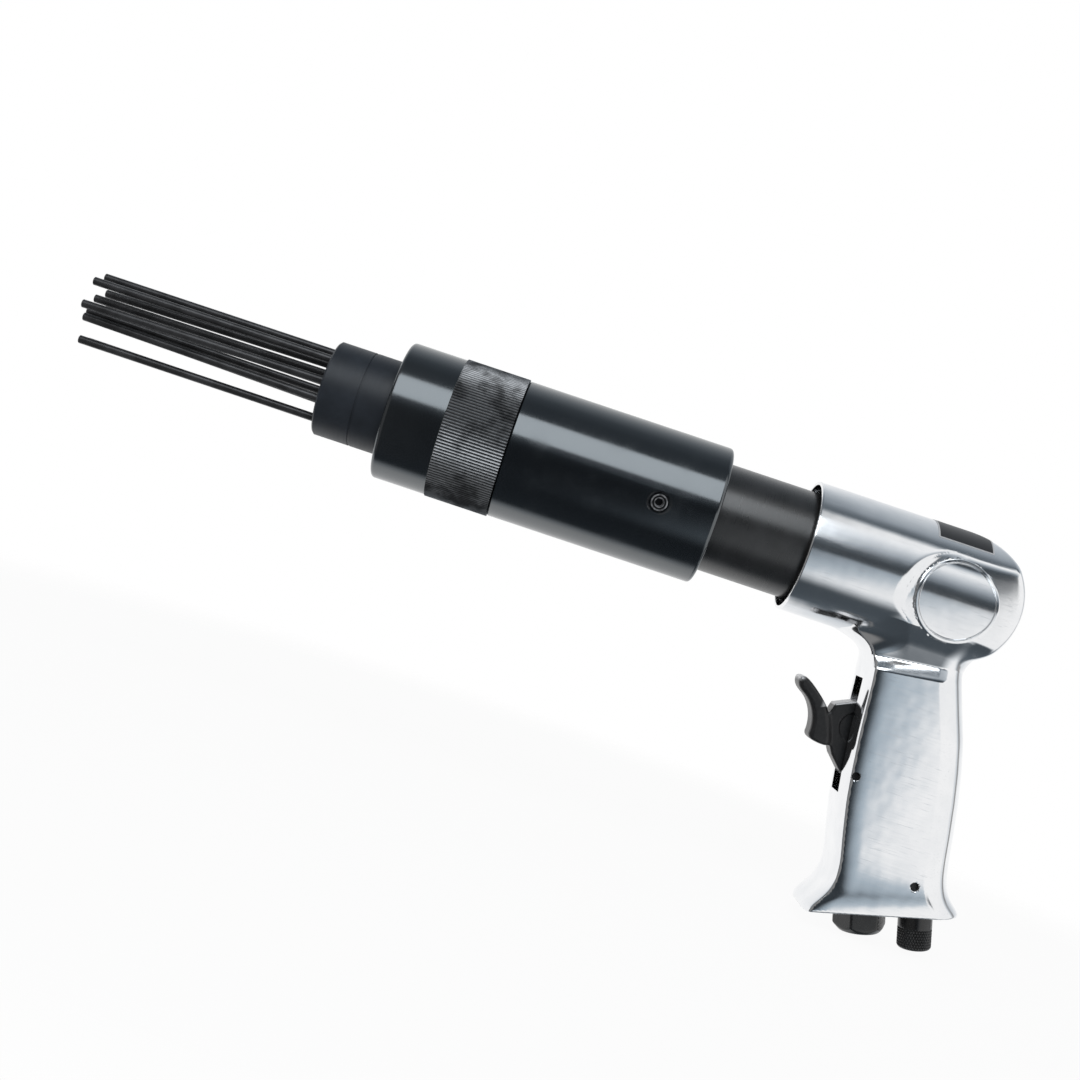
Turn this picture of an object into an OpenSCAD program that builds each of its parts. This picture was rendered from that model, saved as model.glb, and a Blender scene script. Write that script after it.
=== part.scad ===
// Pistol-grip pneumatic needle scaler.
// The barrel lies along X with the needles towards +X, and the grip hangs down towards -Z.
// The origin is on the barrel's axis, midway along the front cap's plain land.

/* [Needles] */
// Diameter of a needle
needle_d = 3; // [2:0.1:3.6]
// Length of a needle from head to tip
needle_length = 180; // [150:1:200]
// Diameter of a needle's head
needle_head_d = 5; // [4.6:0.1:6]
// Thickness of a needle's head
needle_head_t = 3; // [2:0.1:4]
// Free slide of a needle between the holder and the anvil
needle_play = 10; // [6:0.5:14]
// Radius of the outer ring of needles
outer_ring_r = 13; // [11:0.1:13.2]
// Radius of the inner ring of needles
inner_ring_r = 5.2; // [4:0.1:6.5]
// Clearance round a needle in its hole
needle_clear = 0.45; // [0.35:0.05:0.6]

/* [Nose and front cap] */
// Clearance between the outer ring of needles and the nose tube
nose_clear = 1.1; // [0.9:0.05:2]
// How far the nose tube reaches out of the cap
nose_reach = 25.5; // [15:0.5:40]
// Wall of the nose tube round the needles
nose_wall = 2.3; // [1.5:0.1:2.6]
// Distance of the turned line from the front of the nose tube
nose_line_back = 14; // [6:0.5:20]
// Length of the plain land in front of the knurl
cap_land = 21; // [16:0.5:30]
// Length of the knurled band
knurl_length = 24; // [20:0.5:30]
// Height of the knurl's ridges above the land
knurl_rise = 0.45; // [0.2:0.05:0.8]
// Depth of the knurl's ridges
knurl_depth = 0.4; // [0.2:0.05:0.7]
// Number of ridges round the knurl
knurl_ridges = 144; // [100:2:160]
// Wall of the cap over the sleeve's spigot
cap_wall = 2.5; // [2.2:0.1:3.2]
// Thickness of the cap's front lip
cap_lip = 5; // [3:0.5:8]

/* [Sleeve] */
// Length of the sleeve from the cap to its rear rim
sleeve_length = 79; // [74:0.5:86]
// Bore of the sleeve round the needle holder
chamber_d = 42; // [41.6:0.1:42.6]
// Wall of the sleeve's threaded spigot
spigot_wall = 2.46; // [2:0.02:3]
// Length of the threaded spigot inside the cap
spigot_length = 18; // [12:0.5:20]
// Thread diameter of the set screw
set_screw_d = 6; // [4:0.5:8]
// Diameter of the countersink round the set screw
set_screw_sink_d = 9.2; // [8.4:0.1:11]
// Distance of the set screw from the sleeve's rear rim
set_screw_from_rim = 21.5; // [12:0.5:28]
// Turn of the set screw below the side's middle, in degrees
set_screw_turn = 6; // [0:1:90]

/* [Cylinder and hammer] */
// Step in radius from the sleeve's bore down to the cylinder
cylinder_step = 0.5; // [0.3:0.1:1.5]
// Length of cylinder seen between the sleeve and the housing
cylinder_reveal = 34; // [24:0.5:44]
// How far the cylinder goes into the sleeve
cylinder_insert = 35; // [32:0.5:37]
// How far the cylinder goes into the housing before its threaded tail
cylinder_root = 28; // [20:0.5:32]
// Bore of the cylinder
cylinder_bore_d = 19; // [18:0.1:22]
// Step in radius from the cylinder down to its threaded tail
tail_step = 3; // [1.5:0.1:4]
// Length of the threaded tail
tail_length = 23; // [16:0.5:24]
// Length of the bush at the cylinder's front
front_bush = 20; // [12:0.5:26]
// Diameter of an exhaust port
exhaust_port_d = 5; // [3:0.5:7]
// Length of the piston
piston_length = 42; // [30:0.5:50]
// Diameter of the anvil's shank
anvil_shank_d = 16; // [12:0.1:17]
// Thickness of the anvil's flange
anvil_flange = 11; // [8:0.5:13]
// How far the anvil's shank reaches into the cylinder's bore
shank_reach = 6; // [3:0.5:10]
// Thickness of the holder's drilled floor
holder_floor = 12; // [8:0.5:14]
// Wall of the holder's cup
holder_wall = 3; // [2:0.1:3.6]
// Thickness of the rubber buffer behind the anvil
buffer_t = 5; // [3:0.5:6]
// Wire of the return spring
return_wire = 2.4; // [1.6:0.1:2.6]
// Number of turns of the return spring
return_turns = 6; // [4:1:8]
// Thickness of the valve case
valve_case_t = 7; // [6:0.5:9]
// Thickness of the valve cap
valve_cap_t = 5.5; // [4:0.5:7]
// Diameter of the valve case and cap
valve_d = 30; // [26:0.5:32]
// Diameter of the valve disc
valve_disc_d = 17; // [14:0.5:20]
// Thickness of the valve disc
valve_disc_t = 1.6; // [1:0.1:2]
// Travel of the valve disc
valve_travel = 0.8; // [0.5:0.1:1.2]

/* [Housing] */
// Gap for the exhaust between the cylinder and the housing
exhaust_gap = 1.65; // [1.2:0.05:3]
// Length of the housing from its mouth to its rear
housing_length = 81; // [78:0.5:96]
// Wall of the housing at its mouth
mouth_wall = 1.2; // [1:0.1:2]
// Depth of the wide mouth
mouth_depth = 9; // [4:0.5:14]
// Wall of the housing behind the mouth
barrel_wall = 2.6; // [2.2:0.1:3]
// Depth of the flat on each side of the housing's rear
flat_depth = 3.95; // [2:0.05:5]
// Diameter of the round boss on each side
boss_d = 30; // [24:0.5:34]
// Height of the boss above the flat
boss_rise = 0.8; // [0.4:0.1:1.5]
// Distance of the boss from the housing's rear end
boss_from_rear = 25.4; // [22:0.1:34]
// Drop of the boss below the barrel's axis
boss_drop = 2.4; // [0:0.1:4]
// Width of the flat round the boss
boss_margin = 2; // [1:0.1:4]
// Length of the slope in front of the boss, up to the barrel
scoop_run = 8; // [4:0.5:12]
// Round on the housing's rear edges
drum_round = 8.3; // [4:0.1:10]
// Depth of the air space behind the valve
air_space = 5; // [3:0.5:8]
// Diameter of the air space behind the valve
air_space_d = 20; // [14:0.5:26]

/* [Grip] */
// Lean of the grip from square to the barrel, in degrees
grip_rake = 15; // [8:0.5:20]
// Distance from the mouth to where the grip's axis crosses the barrel's
grip_back = 49.3; // [44:0.1:54]
// Length of the grip from the barrel's axis to its foot
grip_length = 119; // [110:0.5:135]
// Depth of the grip from front to rear
grip_depth = 45; // [42:0.5:52]
// Width of the grip
grip_width = 29.6; // [27:0.2:36]
// Width of the trigger's slot
slot_width = 11; // [10:0.1:13]
// How far the slot runs above the trigger's pin
slot_above_pin = 34.8; // [34:0.2:38]
// How far the slot runs below the trigger's pin
slot_below_pin = 7.4; // [5:0.2:9]
// Depth of the slot behind the trigger's pin
slot_behind_pin = 12; // [11.6:0.2:14]

/* [Trigger and throttle] */
// Distance of the trigger's pin below the barrel's axis, along the grip
pin_drop = 69.3; // [66:0.1:74]
// Depth of the trigger's pin behind the grip's front face
pin_inset = 3.4; // [3.2:0.1:5]
// Diameter of the trigger's pin
trigger_pin_d = 3; // [2.5:0.1:4]
// Length of the trigger's pin
trigger_pin_length = 22; // [20:0.5:24]
// Height of the trigger above its pin
trigger_height = 34.6; // [30:0.2:36]
// Reach of the trigger in front of its pin
trigger_reach = 21; // [18:0.2:26]
// Width of the trigger's finger pad
trigger_pad_w = 10.4; // [8:0.2:16]
// Width of the trigger's web
trigger_web_w = 9; // [6:0.2:9.4]
// Depth of the trigger's web behind its pin
trigger_back = 6.5; // [5:0.1:7]
// Height of the throttle's axis above the trigger's pin
stem_above_pin = 21.5; // [19:0.1:23]
// Diameter of the throttle stem
stem_d = 5; // [4:0.1:6]
// Diameter of the throttle bush
throttle_bush_d = 11; // [10:0.1:13]
// Length of the throttle bush
throttle_bush_length = 8.6; // [7:0.1:10]
// Diameter of the throttle stem's head
stem_head_d = 8.6; // [7.6:0.1:9.4]
// Thickness of the throttle stem's head
stem_head_t = 2.4; // [1.8:0.1:3]
// Travel of the throttle stem
stem_travel = 3.8; // [3:0.1:4.4]
// Length of the throttle spring at rest
throttle_spring_length = 8.4; // [7.4:0.1:10]
// Wire of the throttle spring
throttle_wire = 0.9; // [0.6:0.1:1]
// Number of turns of the throttle spring
throttle_turns = 4; // [3:1:5]

/* [Air inlet and regulator] */
// Distance of the inlet's axis in front of the grip's axis
inlet_forward = 16.7; // [15:0.1:18]
// Thread wall diameter of the inlet, for a quarter-inch parallel thread
inlet_thread_d = 11.44; // [10:0.02:12]
// Depth of the inlet's thread
inlet_thread_depth = 16; // [12:0.5:18]
// Width across the flats of the inlet's hexagon
inlet_flats = 17; // [16:0.5:20]
// Height of the inlet's hexagon below the foot
inlet_hex_t = 9; // [6:0.5:12]
// Diameter of the inlet bush inside the grip
inlet_bush_d = 15.4; // [14.8:0.1:16]
// Length of the inlet bush inside the grip
inlet_bush_length = 13; // [10:0.5:16]
// Thickness of the inlet's screen
screen_t = 1.2; // [0.8:0.1:2]
// Distance of the regulator's axis behind the grip's axis
regulator_behind = 4.1; // [3:0.1:5]
// Diameter of the regulator's knob
knob_d = 12.6; // [11:0.1:14]
// Length of the regulator's knob
knob_length = 14.2; // [10:0.1:18]
// Number of ridges round the knob
knob_ridges = 32; // [20:2:40]
// Diameter of the regulator's stem
regulator_stem_d = 10; // [9:0.1:11]
// Length of the regulator's stem inside the grip
regulator_stem_length = 28; // [24:0.5:32]
// Height of the regulator's pin above the foot
regulator_pin_height = 11.3; // [9:0.1:13]
// Diameter of the regulator's pin
regulator_pin_d = 3; // [2.5:0.1:3.4]
// Length of the regulator's pin
regulator_pin_length = 26; // [22:0.5:27]

/* [Hidden] */
$fn = 72;
// Clearance of a fixed fit
fit_clear = 0.04;
// Radial clearance of a running fit
run_clear = 0.06;
// Gap between the faces of two seated pieces
face_gap = 0.1;
// Gap beside a face that moves
move_gap = 0.3;
// How far a cut runs past the face that it opens
overrun = 2;
// How much the half drum at the housing's rear is larger than its barrel, in radius
drum_extra = 0.8;
// How far the drum's round stands past the flats
drum_rise = 0.6;
// Break on a turned edge
edge_break = 0.6;
// Round on the rims of the sleeve and the cap
rim_round = 1.4;
// Steps in the arc of a rim
rim_steps = 6;
// Depth and width of the turned line on the nose
nose_line_depth = 0.35;
nose_line_w = 0.8;
// Depth of the nose tube's flange in front of the return spring
nose_step = 7;

// Places along the barrel
cap_front = cap_land / 2;
knurl_front = -cap_land / 2;
cap_rear = knurl_front - knurl_length;
lip_rear = cap_front - cap_lip;
nose_front = cap_front + nose_reach;
sleeve_rear = cap_rear - sleeve_length;
spigot_front = cap_rear + spigot_length;
cylinder_front = sleeve_rear + cylinder_insert;
mouth = sleeve_rear - cylinder_reveal;
housing_rear = mouth - housing_length;
tail_front = mouth - cylinder_root;
cylinder_rear = tail_front - tail_length;
bush_rear = cylinder_front - front_bush;
shank_end = bush_rear - shank_reach;
anvil_rear = cylinder_front + buffer_t + 2 * face_gap;
anvil_face = anvil_rear + anvil_flange;
holder_rear = anvil_face + face_gap;
floor_rear = holder_rear + needle_head_t + needle_play + 2 * move_gap;
holder_front = floor_rear + holder_floor;
floor_middle = floor_rear + holder_floor / 2;
head_front = floor_rear - move_gap;
valve_cap_front = cylinder_rear - face_gap;
valve_cap_rear = valve_cap_front - valve_cap_t;
valve_case_rear = valve_cap_rear - face_gap - valve_case_t;
air_space_rear = valve_case_rear - face_gap - air_space;
boss_x = housing_rear + boss_from_rear;
grip_x = mouth - grip_back;

// Diameters round the barrel's axis
cap_d = chamber_d + 2 * (spigot_wall + fit_clear + cap_wall);
sleeve_d = cap_d;
nose_d = 2 * (outer_ring_r + nose_clear + nose_wall) + needle_d;
cylinder_d = chamber_d - 2 * cylinder_step;
tail_d = cylinder_d - 2 * tail_step;
housing_d = cylinder_d + 2 * (exhaust_gap + barrel_wall);
rear_width = housing_d - 2 * flat_depth;

// Radii round the barrel's axis
cap_bore_r = cap_d / 2 - cap_wall;
nose_bore_r = nose_d / 2 - nose_wall;
chamber_r = chamber_d / 2;
spigot_r = cap_bore_r - fit_clear;
knurl_peak_r = cap_d / 2 + knurl_rise;
knurl_root_r = knurl_peak_r - knurl_depth;
slide_r = chamber_r - run_clear;
barrel_bore_r = housing_d / 2 - barrel_wall;
shank_r = anvil_shank_d / 2;
return_spring_r = slide_r - return_wire / 2 - move_gap;

// Needle pattern: nine round the outside and three inside
outer_needles = 9;
inner_needles = 3;
needle_count = outer_needles + inner_needles;
first_outer_angle = 90;
first_inner_angle = 90;
// Small lean of each loose needle, upwards and to the left, in degrees
needle_rise = [-0.1, -0.1, -0.65, 0.9, 0.05, 0.2, 1.2, 0.1, -0.75, -0.35, 0.3, 0.45];
needle_veer = [0.1, -0.1, -0.2, -1.1, 0.15, -0.2, 0.8, 0.3, 0.2, 0.3, -0.3, 0.2];
// How far back each needle lies at rest, as shares of its play
needle_rest_shares = [0.1, 0.025, 0.03, 0.07, 0.07, 0.05, 0.08, 0.06, 0.04, 0, 0.09, 0.03];

function needle_angle(k) =
    k < outer_needles
        ? first_outer_angle - k * 360 / outer_needles
        : first_inner_angle + (k - outer_needles) * 360 / inner_needles;
function needle_ring(k) = k < outer_needles ? outer_ring_r : inner_ring_r;
function needle_name(k) = str("needle_", k < outer_needles ? "0" : "", k + 1);

// Form of the grip, from the barrel down to the foot: the place along the grip, the front face
// and the rear face are shares of its length and depth, and the side is a share of its width
grip_place_shares = [
    0.1, 0.16, 0.185, 0.227, 0.286, 0.378, 0.47, 0.563,
    0.655, 0.756, 0.84, 0.89, 0.93, 0.958, 0.982, 1
];
grip_front_shares = [
    0.69, 0.58, 0.505, 0.465, 0.485, 0.53, 0.572, 0.608,
    0.637, 0.651, 0.657, 0.68, 0.73, 0.805, 0.89, 0.897
];
grip_rear_shares = [
    0.46, 0.41, 0.365, 0.328, 0.322, 0.342, 0.364, 0.364,
    0.351, 0.327, 0.302, 0.293, 0.302, 0.33, 0.382, 0.409
];
grip_side_shares = [
    0.53, 0.52, 0.505, 0.49, 0.485, 0.485, 0.488, 0.494,
    0.5, 0.503, 0.505, 0.515, 0.545, 0.59, 0.642, 0.65
];
grip_front_power = 4.4;
grip_rear_power = 2.6;
grip_points = 36;

// Outline of the trigger: shares of its reach in front of the pin and its height above it
pad_shares = [
    [0.958, 1], [0.8, 0.968], [0.474, 0.702], [0.427, 0.584], [0.4, 0.445], [0.388, 0.338],
    [0.4, 0.256], [0.586, 0.28], [0.79, 0.344], [0.727, 0.454], [0.719, 0.601], [0.8, 0.749],
    [0.971, 0.858], [1, 0.931]
];
web_front_shares = [[0.42, 0.256], [0.45, 0.702], [-0.067, 0.757]];

// Places in the grip: x is in front of the grip's axis, and z is minus the way down the grip
function front_share(place_share) =
    lookup(
        place_share,
        [for (i = [0 : len(grip_place_shares) - 1]) [grip_place_shares[i], grip_front_shares[i]]]
    );
pin_x = grip_depth * front_share(pin_drop / grip_length) - pin_inset;
pin_z = -pin_drop;
slot_floor_x = pin_x - slot_behind_pin;
stem_z = pin_z + stem_above_pin;
lug_share = 0.6;
lug_r = trigger_pin_d / 2 + pin_inset * lug_share;
bush_front_x = slot_floor_x - face_gap;
bush_rear_x = bush_front_x - throttle_bush_length;
head_front_x = bush_rear_x - face_gap;
head_rear_x = head_front_x - stem_head_t;
stem_tip_x = pin_x - trigger_back - move_gap;
throttle_end_x = head_rear_x - throttle_spring_length - 2 * face_gap;
throttle_bore_r = throttle_bush_d / 2 + fit_clear;
throttle_spring_r = stem_head_d / 2 - throttle_wire / 2;
foot_z = -grip_length;
screen_z = foot_z + inlet_bush_length + face_gap;
inlet_top_z = screen_z + screen_t + face_gap;
regulator_top_z = foot_z + regulator_stem_length + face_gap;
regulator_pin_z = foot_z + regulator_pin_height;
groove_floor_gap = 0.2;
regulator_groove_r = regulator_stem_d / 2 - regulator_pin_d / 2 - groove_floor_gap;
regulator_pin_x = -regulator_behind + regulator_groove_r + groove_floor_gap + regulator_pin_d / 2;
seal_d = 1.1;
seal_z = (regulator_pin_z + foot_z) / 2;
bush_seal_d = 1.2;
passage_d = 7;
branch_d = 5.6;
outlet_d = 6;

// Helpers

// A turned piece about the X axis, from points of radius and place
module turned(outline) {
    rotate([0, 90, 0]) rotate_extrude() polygon(outline);
}

// A round bar or bore along X
module bar_x(d, from, to) {
    translate([from, 0, 0]) rotate([0, 90, 0]) cylinder(d = d, h = to - from);
}

// A round bar or bore across the tool, centred on the middle plane
module bar_y(d, length) {
    rotate([90, 0, 0]) cylinder(d = d, h = length, center = true);
}

// A round bar or bore along Z
module bar_z(d, from, to) {
    translate([0, 0, from]) cylinder(d = d, h = to - from);
}

// An outline in the middle plane, thickened across the tool
module plate_y(width) {
    rotate([90, 0, 0]) linear_extrude(width, center = true) children();
}

// Children placed in the grip's own frame
module in_grip() {
    translate([grip_x, 0, 0]) rotate([0, grip_rake, 0]) children();
}

// Points of a quarter arc in radius and place
function rim_arc(centre_r, centre_x, r, from_angle, to_angle) = [
    for (i = [0 : rim_steps])
        let (a = from_angle + (to_angle - from_angle) * i / rim_steps)
            [centre_r + r * cos(a), centre_x + r * sin(a)]
];

// A prism with straight ridges round it, along Z
module ridged_bar(peak_r, root_r, ridges, length) {
    linear_extrude(length)
        polygon([
            for (i = [0 : 2 * ridges - 1])
                let (a = 180 * i / ridges, r = i % 2 == 0 ? peak_r : root_r)
                    [r * cos(a), r * sin(a)]
        ]);
}

// One unbroken wire wound along X
module coil(mean_r, wire_d, from, to, turns) {
    rings_per_turn = 8;
    sides = 6;
    rings = turns * rings_per_turn;
    first = from + wire_d / 2;
    last = to - wire_d / 2;
    points = [
        for (i = [0 : rings], j = [0 : sides - 1])
            let (
                a = 360 * i / rings_per_turn,
                b = 360 * j / sides,
                r = mean_r + wire_d / 2 * cos(b)
            )
                [first + (last - first) * i / rings + wire_d / 2 * sin(b), r * cos(a), r * sin(a)]
    ];
    walls = [
        for (i = [0 : rings - 1], j = [0 : sides - 1])
            let (
                p = i * sides + j,
                q = i * sides + (j + 1) % sides
            )
                each [[p, q, p + sides], [q, q + sides, p + sides]]
    ];
    ends = [
        for (j = [1 : sides - 2])
            each [[0, j + 1, j], [rings * sides, rings * sides + j, rings * sides + j + 1]]
    ];
    polyhedron(points, concat(walls, ends));
}

// Needles and what holds them

// Children placed on the axis of needle k, with their origin in the middle of the holder's floor
module at_needle(k) {
    a = needle_angle(k);
    r = needle_ring(k);
    translate([floor_middle, r * cos(a), r * sin(a)])
        rotate([0, -needle_rise[k], needle_veer[k]])
            children();
}

tip_break_share = 0.15;

module needle(k) {
    r = needle_d / 2;
    head_r = needle_head_d / 2;
    head_rear = head_front - floor_middle - needle_head_t - needle_rest_shares[k] * needle_play;
    tip = head_rear + needle_length;
    tip_break = r * tip_break_share;
    color("#9a9fa4")
        at_needle(k)
            turned([
                [0, head_rear], [head_r, head_rear], [head_r, head_rear + needle_head_t],
                [r, head_rear + needle_head_t], [r, tip - tip_break], [r - tip_break, tip], [0, tip]
            ]);
}

module needle_holder() {
    color("#6d7276")
        difference() {
            bar_x(2 * slide_r, holder_rear, holder_front);
            bar_x(2 * (slide_r - holder_wall), holder_rear - overrun, floor_rear);
            for (k = [0 : needle_count - 1])
                at_needle(k)
                    bar_x(needle_d + 2 * needle_clear, -holder_floor, holder_floor);
        }
}

module anvil() {
    color("#70757a")
        turned([
            [0, shank_end], [shank_r - edge_break, shank_end], [shank_r, shank_end + edge_break],
            [shank_r, anvil_rear], [slide_r - edge_break, anvil_rear],
            [slide_r, anvil_rear + edge_break], [slide_r, anvil_face], [0, anvil_face]
        ]);
}

module anvil_buffer() {
    color("#1d1d1f")
        translate([cylinder_front + face_gap, 0, 0])
            rotate([0, 90, 0])
                difference() {
                    cylinder(r = chamber_r - move_gap, h = buffer_t);
                    translate([0, 0, -overrun])
                        cylinder(r = shank_r + move_gap, h = buffer_t + 2 * overrun);
                }
}

module return_spring() {
    color("#565a5e")
        coil(
            return_spring_r, return_wire,
            holder_front + face_gap, lip_rear - nose_step - face_gap, return_turns
        );
}

// Barrel

module nose_tube() {
    flange_r = cap_bore_r - fit_clear;
    flange_rear = spigot_front + face_gap;
    flange_front = lip_rear - face_gap;
    line_x = nose_front - nose_line_back;
    nose_r = nose_d / 2;
    color("#33373d")
        difference() {
            turned([
                [0, flange_rear], [flange_r, flange_rear], [flange_r, flange_front],
                [nose_r, flange_front], [nose_r, line_x - nose_line_w / 2],
                [nose_r - nose_line_depth, line_x - nose_line_w / 2],
                [nose_r - nose_line_depth, line_x + nose_line_w / 2],
                [nose_r, line_x + nose_line_w / 2],
                [nose_r, nose_front - edge_break], [nose_r - edge_break, nose_front], [0, nose_front]
            ]);
            bar_x(2 * nose_bore_r, flange_rear - overrun, nose_front + overrun);
            bar_x(2 * (return_spring_r + return_wire), flange_rear - overrun, lip_rear - nose_step);
        }
}

module front_cap() {
    land_r = cap_d / 2;
    color("#17181b")
        difference() {
            union() {
                turned(concat(
                    [
                        [0, cap_rear], [knurl_root_r - knurl_depth, cap_rear],
                        [knurl_root_r - knurl_depth, knurl_front], [land_r, knurl_front]
                    ],
                    rim_arc(land_r - rim_round, cap_front - rim_round, rim_round, 0, 90),
                    [[0, cap_front]]
                ));
                translate([cap_rear, 0, 0])
                    rotate([0, 90, 0])
                        ridged_bar(knurl_peak_r, knurl_root_r, knurl_ridges, knurl_length);
            }
            bar_x(2 * cap_bore_r, cap_rear - overrun, lip_rear);
            bar_x(nose_d + 2 * fit_clear, lip_rear - overrun, cap_front + overrun);
        }
}

module at_set_screw() {
    translate([sleeve_rear + set_screw_from_rim, 0, 0])
        rotate([-90 - set_screw_turn, 0, 0])
            children();
}

module barrel_sleeve() {
    outer_r = sleeve_d / 2;
    sink = (set_screw_sink_d - set_screw_d) / 2;
    color("#17181b")
        difference() {
            turned(concat(
                [[0, sleeve_rear]],
                rim_arc(outer_r - rim_round, sleeve_rear + rim_round, rim_round, -90, 0),
                [
                    [outer_r, cap_rear - face_gap - edge_break], [outer_r - edge_break, cap_rear - face_gap],
                    [spigot_r, cap_rear - face_gap], [spigot_r, spigot_front], [0, spigot_front]
                ]
            ));
            bar_x(cylinder_d + 2 * fit_clear, sleeve_rear - overrun, cylinder_front);
            bar_x(chamber_d, cylinder_front - fit_clear, spigot_front + overrun);
            at_set_screw() {
                cylinder(d = set_screw_d + 2 * fit_clear, h = outer_r + overrun);
                translate([0, 0, outer_r - sink])
                    cylinder(d1 = set_screw_d, d2 = set_screw_sink_d + 2 * overrun, h = sink + overrun);
            }
        }
}

set_screw_sunk_share = 0.12;
socket_share = 0.5;

module sleeve_set_screw() {
    seat_r = cylinder_d / 2 + fit_clear;
    top_r = sleeve_d / 2 - set_screw_d * set_screw_sunk_share;
    socket = set_screw_d * socket_share;
    color("#2a2b2e")
        at_set_screw()
            difference() {
                translate([0, 0, seat_r]) cylinder(d = set_screw_d, h = top_r - seat_r);
                translate([0, 0, top_r - socket])
                    cylinder(d = socket / cos(30), h = socket + overrun, $fn = 6);
            }
}

// Hammer

module cylinder_body() {
    outer_r = cylinder_d / 2;
    ports = 6;
    port_x = mouth - cylinder_root / 2;
    color("#222224")
        difference() {
            turned([
                [0, cylinder_rear], [tail_d / 2, cylinder_rear], [tail_d / 2, tail_front],
                [outer_r, tail_front], [outer_r, cylinder_front - edge_break],
                [outer_r - edge_break, cylinder_front], [0, cylinder_front]
            ]);
            bar_x(cylinder_bore_d, cylinder_rear - overrun, bush_rear);
            bar_x(anvil_shank_d + 2 * run_clear, bush_rear - overrun, cylinder_front + overrun);
            for (i = [0 : ports - 1])
                translate([port_x, 0, 0])
                    rotate([360 * i / ports, 0, 0])
                        cylinder(d = exhaust_port_d, h = outer_r + overrun);
        }
}

module piston() {
    r = cylinder_bore_d / 2 - run_clear;
    rear = cylinder_rear + move_gap;
    front = rear + piston_length;
    color("#8b9095")
        turned([
            [0, rear], [r - edge_break, rear], [r, rear + edge_break],
            [r, front - edge_break], [r - edge_break, front], [0, front]
        ]);
}

valve_pocket = valve_disc_t + valve_travel + 2 * move_gap;
valve_ports = 6;
valve_port_d = 3;

module valve_port_ring(from, to) {
    for (i = [0 : valve_ports - 1])
        rotate([360 * i / valve_ports, 0, 0])
            translate([0, 0, (valve_disc_d + valve_d) / 4])
                bar_x(valve_port_d, from, to);
}

module valve_cap() {
    color("#8b9095")
        difference() {
            bar_x(valve_d, valve_cap_rear, valve_cap_front);
            bar_x(valve_disc_d / 2, valve_cap_rear - overrun, valve_cap_front + overrun);
            valve_port_ring(valve_cap_rear - overrun, valve_cap_front + overrun);
        }
}

module valve_disc() {
    front = valve_cap_rear - face_gap - move_gap - valve_travel;
    color("#8b9095") bar_x(valve_disc_d, front - valve_disc_t, front);
}

module valve_case() {
    front = valve_cap_rear - face_gap;
    color("#8b9095")
        difference() {
            bar_x(valve_d, valve_case_rear, front);
            bar_x(valve_disc_d + 2 * run_clear, front - valve_pocket, front + overrun);
            bar_x(valve_disc_d / 2, valve_case_rear - overrun, front);
            valve_port_ring(valve_case_rear - overrun, front + overrun);
        }
}

// Housing

// One section of the grip: points round it at station i
function grip_section(i) =
    let (
        front = grip_depth * grip_front_shares[i],
        rear = -grip_depth * grip_rear_shares[i],
        half = grip_width * grip_side_shares[i],
        middle = (front + rear) / 2,
        z = -grip_length * grip_place_shares[i]
    )
    [
        for (j = [0 : grip_points - 1])
            let (
                a = 360 * j / grip_points,
                power = cos(a) >= 0 ? grip_front_power : grip_rear_power
            )
                [
                    middle + (front - middle) * sign(cos(a)) * pow(abs(cos(a)), 2 / power),
                    half * sign(sin(a)) * pow(abs(sin(a)), 2 / power),
                    z
                ]
    ];

module grip_form() {
    stations = len(grip_place_shares);
    n = grip_points;
    points = [for (i = [0 : stations - 1]) each grip_section(i)];
    walls = [
        for (i = [0 : stations - 2], j = [0 : n - 1])
            let (
                p = i * n + j,
                q = i * n + (j + 1) % n
            )
                each [[p, q, p + n], [q, q + n, p + n]]
    ];
    last = (stations - 1) * n;
    ends = [
        for (j = [1 : n - 2])
            each [[0, j + 1, j], [last, last + j, last + j + 1]]
    ];
    polyhedron(points, concat(walls, ends));
}

// The half drum across the tool, with rounded edges
module drum(r) {
    half = rear_width / 2 + drum_rise;
    translate([housing_rear + r, 0, 0])
        rotate([90, 0, 0])
            rotate_extrude() {
                translate([0, -half]) square([r - drum_round, 2 * half]);
                translate([0, drum_round - half]) square([r, 2 * (half - drum_round)]);
                for (side = [-1, 1])
                    translate([r - drum_round, side * (half - drum_round)]) circle(drum_round);
            }
}

module barrel_form() {
    r = housing_d / 2;
    drum_r = r + drum_extra;
    flat_y = rear_width / 2;
    scoop_r = boss_d / 2 + boss_margin;
    scoop_h = flat_depth + overrun;
    difference() {
        intersection() {
            bar_x(housing_d, housing_rear - overrun, mouth);
            union() {
                drum(drum_r);
                translate([housing_rear + drum_r, -housing_d, -housing_d])
                    cube([housing_length, 2 * housing_d, 2 * housing_d]);
            }
        }
        for (side = [-1, 1])
            translate([boss_x, side * flat_y, -boss_drop])
                rotate([-90 * side, 0, 0]) {
                    cylinder(h = scoop_h, r1 = scoop_r, r2 = scoop_r + scoop_run * scoop_h / flat_depth);
                    translate([-housing_length, -housing_d, 0])
                        cube([housing_length, 2 * housing_d, scoop_h]);
                }
    }
    translate([boss_x, 0, -boss_drop]) bar_y(boss_d, rear_width + 2 * boss_rise);
}

// The bore in the barrel for the cylinder, the valve and the air behind it
module barrel_bores() {
    bar_x(housing_d - 2 * mouth_wall, mouth - mouth_depth, mouth + overrun);
    bar_x(2 * barrel_bore_r, tail_front, mouth);
    bar_x(tail_d + 2 * fit_clear, cylinder_rear - face_gap / 2, mouth);
    bar_x(valve_d + 2 * fit_clear, valve_case_rear - face_gap, mouth);
    bar_x(air_space_d, air_space_rear, mouth);
}

// The air space's middle, in the grip's frame
air_x = (air_space_rear + air_space / 2 - grip_x) * cos(grip_rake);
air_z = (air_space_rear + air_space / 2 - grip_x) * sin(grip_rake);

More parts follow.
